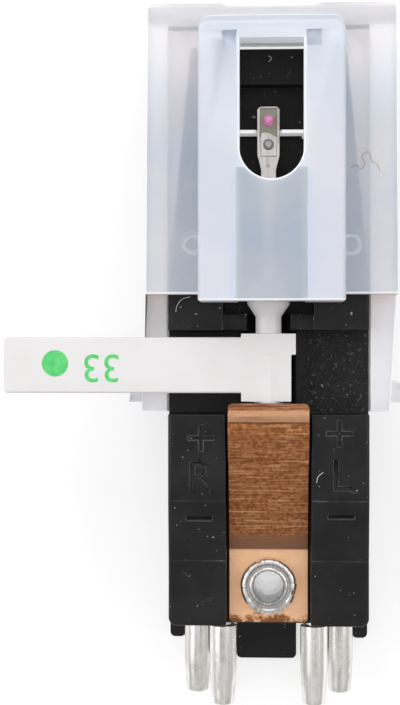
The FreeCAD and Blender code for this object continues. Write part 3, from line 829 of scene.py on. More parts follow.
@dataclass(frozen=True)
class TinPlate(Finish):
    """Dull tin plate with lines from drawing."""

    metallic: float = 1.0
    bright: Colour = (0.93, 0.91, 0.88, 1.0)
    dull: Colour = (0.52, 0.505, 0.48, 1.0)
    grime: Colour = (0.2, 0.19, 0.17, 1.0)
    stretch: Point = (4200.0, 55.0, 4200.0)
    streaks: Pair = (0.35, 1.0)
    rough: Pair = (0.16, 0.3)
    dirt: Specks = Specks(1900.0, 0.03, 0.3)
    dirt_share: float = 0.5

    def wire(self, wiring: Wiring, shader: Node) -> None:
        """Wire the plate's streaks and grime.

        Args:
            wiring: the material's wiring.
            shader: the material's Principled node.
        """
        place = wiring.place()
        cloud = MOTTLE.add(wiring, Vector=place, Scale=900.0)
        lines = self.lines(wiring, place)
        dulled = wiring.times(wiring.ranged(cloud, *self.streaks), lines)
        colour = wiring.blend(dulled, self.bright, self.dull)
        specks = self.dirt.mask(wiring, place)
        colour = wiring.blend(wiring.times(specks, self.dirt_share), colour, self.grime)
        wiring.fill(shader, {"Base Color": self.zones(wiring, place, colour),
                             "Roughness": wiring.ranged(cloud, *self.rough)})
        wiring.relief(shader, lines, depth=0.008, strength=0.5)

    def lines(self, wiring: Wiring, place: Output) -> Output:
        """Draw straight lines along the piece."""
        return DRAWN.add(wiring, Vector=place, Stretch=self.stretch)

    def zones(self, wiring: Wiring, place: Output, colour: Output) -> Output:
        """Leave the colour the same all over."""
        return colour


@dataclass(frozen=True)
class RolledPlate(TinPlate):
    """Tin plate of a rolled eyelet, with marks out from its axis and a bright bore."""

    stretch: Point = (12.0, 900.0, 300.0)
    axis: Pair = (0.0, 0.0)
    bore: Pair = (0.85, 0.87)
    bore_colour: Colour = (0.97, 0.97, 0.98, 1.0)
    dish: Pair = (1.03, 1.29)
    dish_share: float = 0.5
    mouth: Pair = (0.87, 0.91)
    mouth_share: float = 0.75

    def lines(self, wiring: Wiring, place: Output) -> Output:
        """Draw the marks that rolling leaves, out from the axis.

        Args:
            wiring: the material's wiring.
            place: the surface point.

        Returns:
            The marks' value.
        """
        across, along, up = wiring.axes(place)
        turned = wiring.node("ShaderNodeCombineXYZ")
        angle = wiring.maths("ARCTAN2", along, across)
        wiring.fill(turned, {0: angle, 1: wiring.reach(place, self.axis), 2: up})
        return DRAWN.add(wiring, Vector=turned.outputs[0], Stretch=self.stretch)

    def zones(self, wiring: Wiring, place: Output, colour: Output) -> Output:
        """Dull the dished ring, darken the mouth's line and brighten the bore.

        Args:
            wiring: the material's wiring.
            place: the surface point.
            colour: the plate's colour.

        Returns:
            The eyelet's colour.
        """
        radius = wiring.reach(place, self.axis)
        ring = wiring.within(radius, *self.dish, soft=0.05)
        colour = wiring.blend(wiring.times(ring, self.dish_share), colour, self.dull)
        line = wiring.within(radius, *self.mouth, soft=0.015)
        colour = wiring.blend(wiring.times(line, self.mouth_share), colour, self.grime)
        return wiring.blend(wiring.ramp(radius, *self.bore, 1.0, 0.0), colour, self.bore_colour)


@dataclass(frozen=True)
class ArmSheet(TinPlate):
    """Soft aluminium of the stylus arm, with olive cement in the tray of the fine tip."""

    cement: Colour = (0.30, 0.285, 0.20, 1.0)
    cement_share: float = 0.85
    tray: Pair = (24.85, 26.55)
    tray_floor: Pair = (7.97, 8.11)
    tray_half: float = 0.48
    punch: Pair = (-0.03, 23.32)
    punch_radius: float = 0.14
    punch_share: float = 0.7

    def zones(self, wiring: Wiring, place: Output, colour: Output) -> Output:
        """Lay the cement over the tray's floor and mark the punched dot behind the seat.

        Args:
            wiring: the material's wiring.
            place: the surface point.
            colour: the sheet's colour.

        Returns:
            The arm's colour.
        """
        across, along, up = wiring.axes(place)
        tray = wiring.times(wiring.within(along, *self.tray, soft=0.02),
                            wiring.within(across, -self.tray_half, self.tray_half, soft=0.03))
        tray = wiring.times(tray, wiring.within(up, *self.tray_floor, soft=0.02))
        colour = wiring.blend(wiring.times(tray, self.cement_share), colour, self.cement)
        dot = wiring.ramp(wiring.reach(place, self.punch), 0.0, self.punch_radius, self.punch_share, 0.0)
        return wiring.blend(dot, colour, self.grime)


@dataclass(frozen=True)
class PaleMoulding(Finish):
    """White satin plastic with faint dirt in its grain, and a painted glow, where given, that stands in for
    light scattered inside.
    """

    base: Colour = (0.725, 0.71, 0.71, 1.0)
    shade: Colour = (0.68, 0.665, 0.66, 1.0)
    shade_share: float = 0.6
    dirt: Colour = (0.40, 0.37, 0.33, 1.0)
    specks: Specks = Specks(900.0, 0.05, 0.12)
    speck_share: float = 0.3
    scuff_share: float = 0.12
    rough: Pair = (0.36, 0.46)
    glow: float = 0.0

    def wire(self, wiring: Wiring, shader: Node) -> None:
        """Wire the moulding's faint unevenness.

        Args:
            wiring: the material's wiring.
            shader: the material's Principled node.
        """
        place = wiring.place()
        cloud = MOTTLE.add(wiring, Vector=place, Scale=350.0)
        marks = SCUFFS.add(wiring, Vector=place, Scale=420.0, Width=0.002)
        colour = wiring.blend(wiring.times(cloud, self.shade_share), self.base, self.shade)
        specks = wiring.times(self.specks.mask(wiring, place), self.speck_share)
        colour = wiring.blend(specks, colour, self.dirt)
        colour = wiring.blend(wiring.times(marks, self.scuff_share), colour, self.dirt)
        # The glow, where given, is painted light.
        wiring.fill(shader, {"Base Color": colour, "Roughness": wiring.ranged(cloud, *self.rough),
                             "Emission Strength": self.glow})
        wiring.relief(shader, GRAIN.add(wiring, Vector=place, Scale=3800.0), depth=0.006, strength=0.5)


@dataclass(frozen=True)
class PadPrint(Finish):
    """Green pad-printed ink, thin and slightly uneven."""

    ink: Colour = (0.045, 0.52, 0.11, 1.0)
    thin: Colour = (0.13, 0.62, 0.19, 1.0)
    rough: Pair = (0.42, 0.55)

    def wire(self, wiring: Wiring, shader: Node) -> None:
        """Wire the ink's uneven cover.

        Args:
            wiring: the material's wiring.
            shader: the material's Principled node.
        """
        cloud = MOTTLE.add(wiring, Vector=wiring.place(), Scale=1700.0)
        colour = wiring.blend(cloud, self.ink, self.thin)
        wiring.fill(shader, {"Base Color": colour, "Roughness": wiring.ranged(cloud, *self.rough)})


@dataclass(frozen=True)
class FrostedShell(Finish):
    """Translucent bluish-white polyolefin, soft and cloudy; a glow, where one is given, is painted light.

    Faces that light enters take the outer colours, and faces that it leaves take the inner one.
    """

    base: Colour = (0.58, 0.79, 1.0, 1.0)
    milky: Colour = (0.68, 0.86, 1.0, 1.0)
    inner: Colour = (1.0, 0.55, 0.35, 1.0)
    pale_marks: Colour = (0.8, 0.93, 1.0, 1.0)
    rub_share: float = 0.9
    scuff_share: float = 0.3
    dust: Specks = Specks(1100.0, 0.9, 0.1)
    dirt: Colour = grey(0.35)
    dirt_specks: Specks = Specks(700.0, 0.12, 0.08)
    dirt_share: float = 0.45
    middle: float = 0.17
    seam: Colour = (0.72, 0.87, 1.0, 1.0)
    seam_at: float = 1.9
    seam_width: float = 0.5
    seam_share: float = 0.9
    seam_end: Pair = (22.0, 23.0)
    pocket_shade: Colour = (0.62, 0.78, 1.0, 1.0)
    pocket_shade_share: float = 0.2
    pocket_shade_across: Pair = (1.84, 2.64)
    pocket_shade_rise: Pair = (28.35, 29.35)
    pocket_shade_front: float = 30.15
    pocket_shade_soft: float = 0.06
    front: Colour = (0.98, 0.97, 1.0, 1.0)
    front_along: Pair = (25.2, 30.4)
    front_share: float = 0.9
    rings: tuple[Point, ...] = ((-4.2, 19.05, 0.53), (4.5, 18.85, 0.53))
    ring_half: float = 0.06
    ring_soft: float = 0.03
    rough: Pair = (0.3, 0.4)
    clear: float = 0.55
    refraction: float = 1.49
    glow: float = 0.0

    def wire(self, wiring: Wiring, shader: Node) -> None:
        """Wire the shell's clouds, scuffs, specks and zones, among them painted shade in the pockets and
        painted light at the front.

        Args:
            wiring: the material's wiring.
            shader: the material's Principled node.
        """
        place = wiring.place()
        across, along = wiring.axes(place)[:2]
        cloud = MOTTLE.add(wiring, Vector=place, Scale=190.0)
        marks = SCUFFS.add(wiring, Vector=place, Scale=260.0, Width=0.0018)
        colour = wiring.blend(cloud, self.base, self.milky)
        dirty = wiring.times(self.dirt_specks.mask(wiring, place), self.dirt_share)
        colour = wiring.blend(dirty, colour, self.dirt)
        off = wiring.gap(across, self.middle)
        colour = wiring.blend(self.seams(wiring, off, along), colour, self.seam)
        # Painted shade: the pockets take a bluish shade that fades rearwards.
        colour = wiring.blend(self.pockets(wiring, off, along), colour, self.pocket_shade)
        leaving = wiring.node("ShaderNodeNewGeometry").outputs["Backfacing"]
        colour = wiring.blend(leaving, colour, self.inner)
        # Painted light: the shell is painted paler towards its front, lifting the shade under it.
        painted_front_light = wiring.ramp(along, *self.front_along, top=self.front_share)
        colour = wiring.blend(painted_front_light, colour, self.front)
        rings = [self.ring(wiring, place, ring) for ring in self.rings]
        pale_mask = wiring.most(wiring.times(marks, self.scuff_share), *rings)
        colour = wiring.blend(wiring.times(pale_mask, self.rub_share), colour, self.pale_marks)
        colour = wiring.blend(self.dust.mask(wiring, place), colour, self.pale_marks)
        # The glow, where given, is painted light.
        wiring.fill(shader, {"Base Color": colour, "Roughness": wiring.ranged(cloud, *self.rough),
                             "Transmission Weight": self.clear, "IOR": self.refraction,
                             "Emission Strength": self.glow})
        wiring.relief(shader, GRAIN.add(wiring, Vector=place, Scale=2400.0), depth=0.012, strength=0.4)

    def seams(self, wiring: Wiring, off: Output, along: Output) -> Output:
        """Pale the edges of the groove's roof behind the window.

        Args:
            wiring: the material's wiring.
            off: the distance from the window's middle line.
            along: the distance along the part.

        Returns:
            The edges' mask.
        """
        near = wiring.ramp(wiring.gap(off, self.seam_at), 0.0, self.seam_width, self.seam_share, 0.0)
        return wiring.times(near, wiring.ramp(along, *self.seam_end, 1.0, 0.0))

    def pockets(self, wiring: Wiring, off: Output, along: Output) -> Output:
        """Paint bluish shade into the shallow pockets beside the window's front, fading rearwards.

        Args:
            wiring: the material's wiring.
            off: the distance from the window's middle line.
            along: the distance along the part.

        Returns:
            The tint's mask.
        """
        rise = wiring.ramp(along, *self.pocket_shade_rise, top=self.pocket_shade_share)
        end = wiring.ramp(along, self.pocket_shade_front, self.pocket_shade_front + self.pocket_shade_soft, 1.0, 0.0)
        return wiring.times(wiring.within(off, *self.pocket_shade_across, self.pocket_shade_soft), wiring.times(rise, end))

    def ring(self, wiring: Wiring, place: Output, ring: Point) -> Output:
        """Draw the pale ring over one stand-off.

        Args:
            wiring: the material's wiring.
            place: the surface point.
            ring: the ring's X, Y and radius in millimetres.

        Returns:
            The ring's mask.
        """
        x, y, radius = ring
        reach = wiring.reach(place, (x, y))
        return wiring.within(reach, radius - self.ring_half, radius + self.ring_half, self.ring_soft)


@dataclass(frozen=True)
class Jewel(Finish):
    """Ground jewel, glossy and slightly see-through, with a painted glow that stands in for light scattered
    inside.
    """

    base: Colour = (1.0, 0.42, 0.80, 1.0)
    deep: Colour = (0.80, 0.24, 0.52, 1.0)
    middle: Pair = (0.0, 25.83)
    rim: Pair = (0.2, 0.3)
    rim_wander: float = 0.05
    rough: Pair = (0.12, 0.24)
    clear: float = 0.2
    refraction: float = 1.76
    glow: float = 0.2

    def wire(self, wiring: Wiring, shader: Node) -> None:
        """Wire the jewel's colour, deeper round its uneven rim.

        Args:
            wiring: the material's wiring.
            shader: the material's Principled node.
        """
        place = wiring.place()
        cloud = MOTTLE.add(wiring, Vector=place, Scale=4200.0)
        reach = wiring.plus(wiring.reach(place, self.middle), wiring.times(cloud, self.rim_wander * MM))
        colour = wiring.blend(wiring.within(reach, *self.rim, soft=0.04), self.base, self.deep)
        # The emission in the jewel's own colour is painted light.
        wiring.fill(shader, {"Base Color": colour, "Roughness": wiring.ranged(cloud, *self.rough),
                             "Emission Color": colour, "Emission Strength": self.glow,
                             "Transmission Weight": self.clear, "IOR": self.refraction})


@dataclass(frozen=True)
class CastBlock(Finish):
    """Plain dull material with a cloudy colour and grain: fired ceramic, rubber or a fibre."""

    base: Colour = (0.55, 0.50, 0.42, 1.0)
    shade: Colour = (0.38, 0.34, 0.29, 1.0)
    rough: Pair = (0.6, 0.75)

    def wire(self, wiring: Wiring, shader: Node) -> None:
        """Wire the block's clouds and grain.

        Args:
            wiring: the material's wiring.
            shader: the material's Principled node.
        """
        place = wiring.place()
        cloud = MOTTLE.add(wiring, Vector=place, Scale=800.0)
        colour = wiring.blend(cloud, self.base, self.shade)
        wiring.fill(shader, {"Base Color": colour, "Roughness": wiring.ranged(cloud, *self.rough)})
        wiring.relief(shader, GRAIN.add(wiring, Vector=place, Scale=2600.0), depth=0.01)


@dataclass(frozen=True)
class FloorPaint(Finish):
    """Pale matt floor that looks white and keeps the object's shadow."""

    specular: float = 0.1
    base: Colour = grey(0.42)
    rough: float = 0.9
    glow: float = 0.62
    through_glow: float = 1.0

    def wire(self, wiring: Wiring, shader: Node) -> None:
        """Wire the paint, with a glow for the camera, for gloss and through clear plastic.

        Args:
            wiring: the material's wiring.
            shader: the material's Principled node.
        """
        path = wiring.node("ShaderNodeLightPath").outputs
        seen = wiring.most(path["Is Camera Ray"], path["Is Glossy Ray"])
        through = wiring.times(path["Is Transmission Ray"], self.through_glow)
        glow = wiring.most(wiring.times(seen, self.glow), through)
        wiring.fill(shader, {"Base Color": self.base, "Roughness": self.rough, "Emission Color": grey(1.0),
                             "Emission Strength": glow})


BLACK = BlackMoulding("black_moulding")
COPPER = CopperStrip("copper_strip")
EYELET_PLATE = RolledPlate("eyelet_plate", bright=(0.74, 0.72, 0.70, 1.0), dull=(0.34, 0.325, 0.31, 1.0),
                           rough=(0.24, 0.4), dirt=Specks(1900.0, 0.12, 0.3))
PIN_PLATE = TinPlate("pin_plate")
WHITE = PaleMoulding("white_moulding")
# The yoke's glow is painted light that brightens the yoke where it lies in shade under the guard.
YOKE_WHITE = PaleMoulding("yoke_moulding", base=grey(0.98), shade=grey(0.94), rough=(0.5, 0.6), glow=0.34)
ARM_METAL = ArmSheet("arm_metal", bright=(0.86, 0.82, 0.80, 1.0), dull=(0.54, 0.515, 0.50, 1.0),
                     stretch=(5200.0, 300.0, 5200.0), rough=(0.36, 0.5))
GREEN_INK = PadPrint("green_ink")
SHELL = FrostedShell("frosted_shell")
RAIL = FrostedShell("frosted_rail", base=(0.74, 0.81, 0.93, 1.0), milky=(0.80, 0.85, 0.96, 1.0),
                    inner=(1.0, 0.95, 0.88, 1.0), seam=(0.70, 0.80, 0.95, 1.0), front_share=0.0,
                    rough=(0.42, 0.52), clear=0.3)
# The bead's glow is painted light: a highlight along the rounded edges that also lifts the window's shaded
# walls; its front colour takes the highlight off the hump's front edge.
BEAD = FrostedShell("frosted_bead", base=(0.72, 0.75, 0.81, 1.0), milky=(0.78, 0.81, 0.87, 1.0),
                    inner=grey(1.0), seam=(0.78, 0.81, 0.87, 1.0), front=(0.66, 0.72, 0.84, 1.0),
                    front_along=(30.0, 30.6), rough=(0.4, 0.5), clear=0.06, glow=0.17)
# The wing's small glow is painted light that lightens the wings where shade falls on them.
WING = FrostedShell("frosted_wing", base=(0.68, 0.69, 0.75, 1.0), milky=(0.76, 0.77, 0.83, 1.0),
                    inner=(1.0, 0.97, 0.94, 1.0), rough=(0.36, 0.46), clear=0.5, glow=0.055)
PINK_JEWEL = Jewel("pink_jewel")
GREY_JEWEL = Jewel("grey_jewel", base=(0.66, 0.65, 0.63, 1.0), deep=(0.2, 0.19, 0.18, 1.0),
                   middle=(0.0, 24.5), glow=0.0)
CERAMIC = CastBlock("piezo_bar")
LINT = CastBlock("pale_lint", base=grey(0.86), shade=grey(0.7))
DARK_LINT = CastBlock("dark_lint", base=grey(0.36), shade=grey(0.26))
RUBBER = CastBlock("clamp_rubber", base=(0.05, 0.05, 0.052, 1.0), shade=(0.025, 0.025, 0.027, 1.0))
FLOOR_PAINT = FloorPaint("studio_floor")


# Mesh helpers

SHARP_DEGREES = 32.0
TURNED_SHARP_DEGREES = 40.0
FLAT_DEGREES = 0.5
ROUND_STEPS = 3
OWN_FINISH = -1
SHARED_ROOM = 0.45
WHOLE_ROOM = 0.9
LEAST_ROOM = 0.0001
END_SLACK = 0.001
CAPITAL_SHARE = 0.7


def add_object(name: str, data: bpy.types.ID) -> bpy.types.Object:
    """Put a new object in the scene.

    Args:
        name: the object's name.
        data: its mesh, curve, lamp or camera.

    Returns:
        The new object.
    """
    made = bpy.data.objects.new(name, data)
    bpy.context.scene.collection.objects.link(made)
    return made


def open_edit(mesh: bpy.types.Mesh) -> Edit:
    """Open a mesh for editing.

    Args:
        mesh: the mesh.

    Returns:
        The open edit.
    """
    edit = bmesh.new()
    edit.from_mesh(mesh)
    return edit


def close_edit(edit: Edit, mesh: bpy.types.Mesh) -> None:
    """Write an edit to a mesh and free it."""
    edit.to_mesh(mesh)
    edit.free()


def new_mesh(name: str, edit: Edit) -> bpy.types.Mesh:
    """Make a mesh of an edit and free it.

    Args:
        name: the mesh's name.
        edit: the edit.

    Returns:
        The new mesh.
    """
    mesh = bpy.data.meshes.new(name)
    close_edit(edit, mesh)
    return mesh


def smooth(mesh: bpy.types.Mesh, angle: float) -> None:
    """Shade a mesh smoothly between its sharp edges.

    Args:
        mesh: the mesh.
        angle: edges that turn by more than this many degrees stay sharp.
    """
    for face in mesh.polygons:
        face.use_smooth = True
    mesh.set_sharp_from_angle(angle=math.radians(angle))


def coat(mesh: bpy.types.Mesh, finish: Finish) -> None:
    """Give a mesh one finish all over."""
    mesh.materials.clear()
    mesh.materials.append(finish.material())


def new_piece(name: str, mesh: bpy.types.Mesh, body: Body, finish: Finish,
              stands_for: tuple[str, ...] = ()) -> bpy.types.Object:
    """Add a finished piece to the scene.

    Args:
        name: the piece's name.
        mesh: its mesh, in the part's frame.
        body: the body that it rides on.
        finish: its finish.
        stands_for: the CAD nodes that it replaces.

    Returns:
        The new object.
    """
    piece = add_object(name, mesh)
    coat(mesh, finish)
    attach(piece, body.value)
    if stands_for:
        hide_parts(*stands_for)
    LOG.info("built %s on %s", name, body.value)
    return piece


def clean_copy(node: str, join: float = 0.0005) -> bpy.types.Mesh:
    """Copy a CAD node's mesh with its flat faces whole again.

    Args:
        node: the node's name.
        join: how near two points count as one, in millimetres.

    Returns:
        The new mesh.
    """
    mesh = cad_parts[node].data.copy()
    edit = open_edit(mesh)
    bmesh.ops.remove_doubles(edit, verts=edit.verts, dist=join * MM)
    flat = math.radians(FLAT_DEGREES)
    bmesh.ops.dissolve_limit(edit, angle_limit=flat, verts=edit.verts, edges=edit.edges)
    close_edit(edit, mesh)
    return mesh


def face_room(loop: bmesh.types.BMLoop, sharp: set[bmesh.types.BMEdge]) -> float:
    """Find how far an edge's rounding may reach over one of its faces.

    Args:
        loop: the edge's loop in that face.
        sharp: all edges that are rounded.

    Returns:
        The room in metres, less beside an edge that is rounded too.
    """
    start = loop.vert.co
    run = loop.link_loop_next.vert.co - start
    along = run.normalized()
    inward = loop.face.normal.cross(along)
    room = math.inf
    for other in loop.face.edges:
        if other is loop.edge:
            continue
        ends = [((v.co - start).dot(along) / run.length, (v.co - start).dot(inward)) for v in other.verts]
        heights = [height for place, height in ends if -END_SLACK <= place <= 1.0 + END_SLACK]
        # An edge that passes the middle also limits the room there.
        (place, height), (end_place, end_height) = ends
        if (place - 0.5) * (end_place - 0.5) < 0:
            heights.append(height + (end_height - height) * (0.5 - place) / (end_place - place))
        part = SHARED_ROOM if other in sharp else WHOLE_ROOM
        room = min([room] + [part * height for height in heights if height > LEAST_ROOM * MM])
    return room


def soften(piece: bpy.types.Object, width: float, angle: float = SHARP_DEGREES,
           edge_finish: int = OWN_FINISH, share: Callable[[Vector], float] | None = None) -> None:
    """Round a piece's sharp edges a little, as moulding or stamping leaves them.

    Args:
        piece: the piece.
        width: the rounding's width in millimetres.
        angle: edges flatter than this many degrees stay as they are.
        edge_finish: the place of the rounding's finish in the mesh's list, or its neighbours' own.
        share: what part of the width an edge gets, by its middle in millimetres.
    """
    edit = open_edit(piece.data)
    weight = edit.edges.layers.float.new("bevel_weight_edge")
    parts = {}
    for edge in edit.edges:
        if edge.calc_face_angle(0.0) > math.radians(angle):
            middle = (edge.verts[0].co + edge.verts[1].co) / 2 / MM
            parts[edge] = share(middle) if share else 1.0
    sharp = {edge for edge, part in parts.items() if part > 0}
    for edge in sharp:
        room = min(face_room(loop, sharp) for loop in edge.link_loops)
        edge[weight] = min(parts[edge], room / (width * MM))
    close_edit(edit, piece.data)
    bevel = piece.modifiers.new("edge_round", "BEVEL")
    bevel.material = edge_finish
    bevel.width = width * MM
    bevel.segments = ROUND_STEPS
    bevel.limit_method = "WEIGHT"
    bevel.miter_outer = "MITER_ARC"
    bevel.use_clamp_overlap = False
    bevel.harden_normals = True
    smooth(piece.data, angle)


def dress_node(node: str, name: str, body: Body, finish: Finish,
               width: float) -> bpy.types.Object:
    """Replace a CAD node by its own form with softened edges and a finish.

    Args:
        node: the node's name.
        name: the new piece's name.
        body: the body that it rides on.
        finish: the finish.
        width: the edge rounding in millimetres.

    Returns:
        The new piece.
    """
    piece = new_piece(name, clean_copy(node), body, finish, (node,))
    soften(piece, width)
    return piece


def finish_node(node: str, finish: Finish) -> None:
    """Give a CAD node that stays as it is its finish."""
    coat(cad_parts[node].data, finish)
    LOG.info("finished %s", node)


def turned_mesh(name: str, profile: list[Pair], steps: int,
                centre: Point = (0.0, 0.0, 0.0)) -> bpy.types.Mesh:
    """Turn a closed profile about an upright axis.

    Args:
        name: the mesh's name.
        profile: radius and height of each point, in millimetres.
        steps: points round the axis.
        centre: the axis's foot, in millimetres.

    Returns:
        The new mesh.
    """
    edit = bmesh.new()
    rings = []
    for step in range(steps):
        angle = 2 * math.pi * step / steps
        local = [Vector((radius * math.cos(angle), radius * math.sin(angle), up)) for radius, up in profile]
        rings.append([edit.verts.new((Vector(centre) + point) * MM) for point in local])
    for step, there in enumerate(rings):
        here = rings[step - 1]
        for k in range(len(profile)):
            edit.faces.new((here[k - 1], there[k - 1], there[k], here[k]))
    bmesh.ops.recalc_face_normals(edit, faces=edit.faces)
    mesh = new_mesh(name, edit)
    smooth(mesh, TURNED_SHARP_DEGREES)
    return mesh


def mesh_of(name: str, curve: bpy.types.Curve) -> bpy.types.Mesh:
    """Turn a curve or text into a mesh and drop the curve.

    Args:
        name: the mesh's name.
        curve: the curve.

    Returns:
        The new mesh.
    """
    holder = add_object(name, curve)
    shown = holder.evaluated_get(bpy.context.evaluated_depsgraph_get())
    mesh = bpy.data.meshes.new_from_object(shown)
    bpy.data.objects.remove(holder)
    bpy.data.curves.remove(curve)
    return mesh


def lettering_mesh(name: str, text: str, height: float, thick: float, place: Matrix) -> bpy.types.Mesh:
    """Make raised plain lettering.

    Args:
        name: the mesh's name.
        text: the characters.
        height: capital height in millimetres.
        thick: half the relief in millimetres.
        place: where its middle goes, in the frame's metres.

    Returns:
        The new mesh.
    """
    curve = bpy.data.curves.new(name, "FONT")
    curve.body = text
    curve.size = height * MM / CAPITAL_SHARE
    curve.align_x = "CENTER"
    curve.align_y = "CENTER"
    curve.extrude = thick * MM
    mesh = mesh_of(name, curve)
    mesh.transform(place)
    return mesh


def add_prism(edit: Edit, outline: list[Pair], half: float, place: Matrix) -> None:
    """Add a prism over an outline.

    Args:
        edit: what it is added to.
        outline: its corners, anticlockwise, in millimetres.
        half: half its height in millimetres.
        place: the place and tilt of its middle.
    """
    low, high = [
        [edit.verts.new(place @ (Vector((x, y, level)) * MM)) for x, y in outline]
        for level in (-half, half)
    ]
    edit.faces.new(low[::-1])
    edit.faces.new(high)
    for k, corner in enumerate(low):
        edit.faces.new((low[k - 1], corner, high[k], high[k - 1]))


def carve(piece: bpy.types.Object, cutter: Edit) -> None:
    """Take a cutter's solids away from a piece whose edges are already rounded.

    Args:
        piece: the piece.
        cutter: the solids to take away, which are freed.
    """
    mesh = new_mesh("cutter", cutter)
    tool = add_object("cutter", mesh)
    cut = piece.modifiers.new("engraving", "BOOLEAN")
    cut.object = tool
    cut.solver = "EXACT"
    cut.use_self = True
    shown = piece.evaluated_get(bpy.context.evaluated_depsgraph_get())
    carved = bpy.data.meshes.new_from_object(shown)
    piece.modifiers.clear()
    piece.data = carved
    bpy.data.objects.remove(tool)
    bpy.data.meshes.remove(mesh)
    smooth(carved, SHARP_DEGREES)
    even = piece.modifiers.new("even_normals", "WEIGHTED_NORMAL")
    even.keep_sharp = True


# Sub-assemblies


@dataclass
class Housing:
    """Black moulded body with its back cover and the channel marks on its cheeks."""

    edge: float = 0.07
    cheek_top: float = 9.0
    slope_head: float = 4.9
    slope_degrees: float = 15.6
    letter_height: float = 1.75
    sign_length: float = 1.45
    stroke: float = 0.25
    depth: float = 0.08
    marks: tuple[tuple[Mark, float, float], ...] = (
        (Mark.PLUS, -3.7, 8.35), (Mark.RIGHT, -3.72, 6.1), (Mark.MINUS, -3.8, 3.9),
        (Mark.PLUS, 3.88, 8.6), (Mark.LEFT, 3.98, 6.25), (Mark.MINUS, 3.98, 4.02),
    )

    def build(self) -> None:
        """Build the moulding and the cover, and engrave the marks."""
        body = dress_node("housing", "housing_moulding", Body.CARTRIDGE, BLACK, self.edge)
        dress_node("back_cover", "back_cover_moulding", Body.CARTRIDGE, BLACK, self.edge)
        cutter = bmesh.new()
        for mark, across, along in self.marks:
            self.add_mark(cutter, mark, self.cheek_place(across, along))
        carve(body, cutter)

    def cheek_place(self, across: float, along: float) -> Matrix:
        """Find a cheek's surface, flat in front and sloping behind.

        Args:
            across: the X of a point in millimetres.
            along: its Y in millimetres.

        Returns:
            The place and tilt of the surface there.
        """
        behind = max(0.0, self.slope_head - along)
        tilt = math.radians(self.slope_degrees) if behind else 0.0
        level = self.cheek_top - behind * math.tan(tilt)
        return Matrix.Translation(Vector((across, along, level)) * MM) @ Matrix.Rotation(tilt, 4, "X")

    def add_mark(self, cutter: Edit, mark: Mark, place: Matrix) -> None:
        """Add one channel letter or polarity sign to the engraving.

        Args:
            cutter: what will be taken away.
            mark: the letter or sign.
            place: the surface's place and tilt.
        """
        reach = self.sign_length / 2
        thin = self.stroke / 2
        if mark is Mark.MINUS:
            bar = [(-reach, -thin), (reach, -thin), (reach, thin), (-reach, thin)]
            add_prism(cutter, bar, self.depth, place)
        elif mark is Mark.PLUS:
            quarter = [Vector((thin, -thin)), Vector((reach, -thin)), Vector((reach, thin))]
            turns = [Matrix.Rotation(math.pi / 2 * k, 2) for k in range(4)]
            cross = [tuple(turn @ corner) for turn in turns for corner in quarter]
            add_prism(cutter, cross, self.depth, place)
        else:
            letter = lettering_mesh("mark", mark.value, self.letter_height, self.depth, place)
            cutter.from_mesh(letter)
            bpy.data.meshes.remove(letter)


@dataclass
class SpringClip:
    """Copper leaf spring and the eyelet that holds it.

    The crown gives the radius and the depth below the rim's top of each point from the rolled rim into
    the bore. A ripple has its depth and its count round the rim. A split has its direction and half its
    width in degrees, and its depth as a share of the roll.
    """

    edge: float = 0.05
    bore: float = 0.85
    barrel: float = 1.1
    flange: float = 1.55
    flange_thick: float = 0.35
    rim: float = 1.56
    roll: float = 0.26
    roll_steps: int = 6
    seat: float = 6.9
    rim_top: float = 7.56
    crown: tuple[Pair, ...] = ((1.24, 0.04), (1.19, 0.1), (1.09, 0.1), (1.03, 0.04), (0.98, 0.02),
                               (0.91, 0.08), (0.85, 0.2))
    ripples: tuple[Pair, ...] = ((0.01, 7.0), (0.007, 17.0))
    splits: tuple[Point, ...] = ((-14.0, 7.0, 0.85), (8.0, 3.0, 0.3), (112.0, 5.0, 0.35))
    split_steepness: float = 2.0
    steps: int = 180
    slack: float = 0.02

    def build(self) -> None:
        """Build the spring and the eyelet."""
        dress_node("clip_spring", "spring_strip", Body.CARTRIDGE, COPPER, self.edge)
        self.build_eyelet()

    def build_eyelet(self) -> None:
        """Turn the eyelet with its rolled rim, and split the rim where it cracked."""
        low = [(self.bore, 0.0), (self.flange, 0.0), (self.flange, self.flange_thick),
               (self.barrel, self.flange_thick), (self.barrel, self.seat), (self.rim, self.seat)]
        rolled = []
        for step in range(self.roll_steps + 1):
            angle = math.pi / 2 * step / self.roll_steps
            rolled.append((self.rim - self.roll + self.roll * math.cos(angle),
                           self.rim_top - self.roll + self.roll * math.sin(angle)))
        crown = [(radius, self.rim_top - depth) for radius, depth in self.crown]
        mesh = turned_mesh("eyelet_turned", low + rolled + crown, self.steps)
        for vertex in mesh.vertices:
            self.shape_rim(vertex)
        new_piece("eyelet_turned", mesh, Body.CARTRIDGE, EYELET_PLATE, ("eyelet",))

    def shape_rim(self, vertex: bpy.types.MeshVertex) -> None:
        """Ripple one point of the rim, and dent it where the rim split as it was rolled over.

        Args:
            vertex: the point to shape.
        """
        radius = math.hypot(vertex.co.x, vertex.co.y) / MM
        over = radius - (self.rim - self.roll)
        if vertex.co.z < (self.seat + self.slack) * MM or over < 0.0:
            return
        angle = math.atan2(vertex.co.y, vertex.co.x)
        wanted = radius + sum(depth * math.sin(count * angle) for depth, count in self.ripples)
        for middle, half, depth in self.splits:
            away = abs((math.degrees(angle) - middle + 180) % 360 - 180)
            share = max(0.0, 1.0 - away / half)
            wanted -= min(1.0, self.split_steepness * share) * depth * over
        vertex.co.x *= wanted / radius
        vertex.co.y *= wanted / radius


@dataclass
class Terminals:
    """Four rolled and plated terminal pins."""

    edge: float = 0.05
    names: tuple[str, ...] = ("left_plus", "left_minus", "right_plus", "right_minus")

    def build(self) -> None:
        """Dress each pin."""
        for name in self.names:
            dress_node(f"pin_{name}", f"terminal_{name}", Body.CARTRIDGE, PIN_PLATE, self.edge)


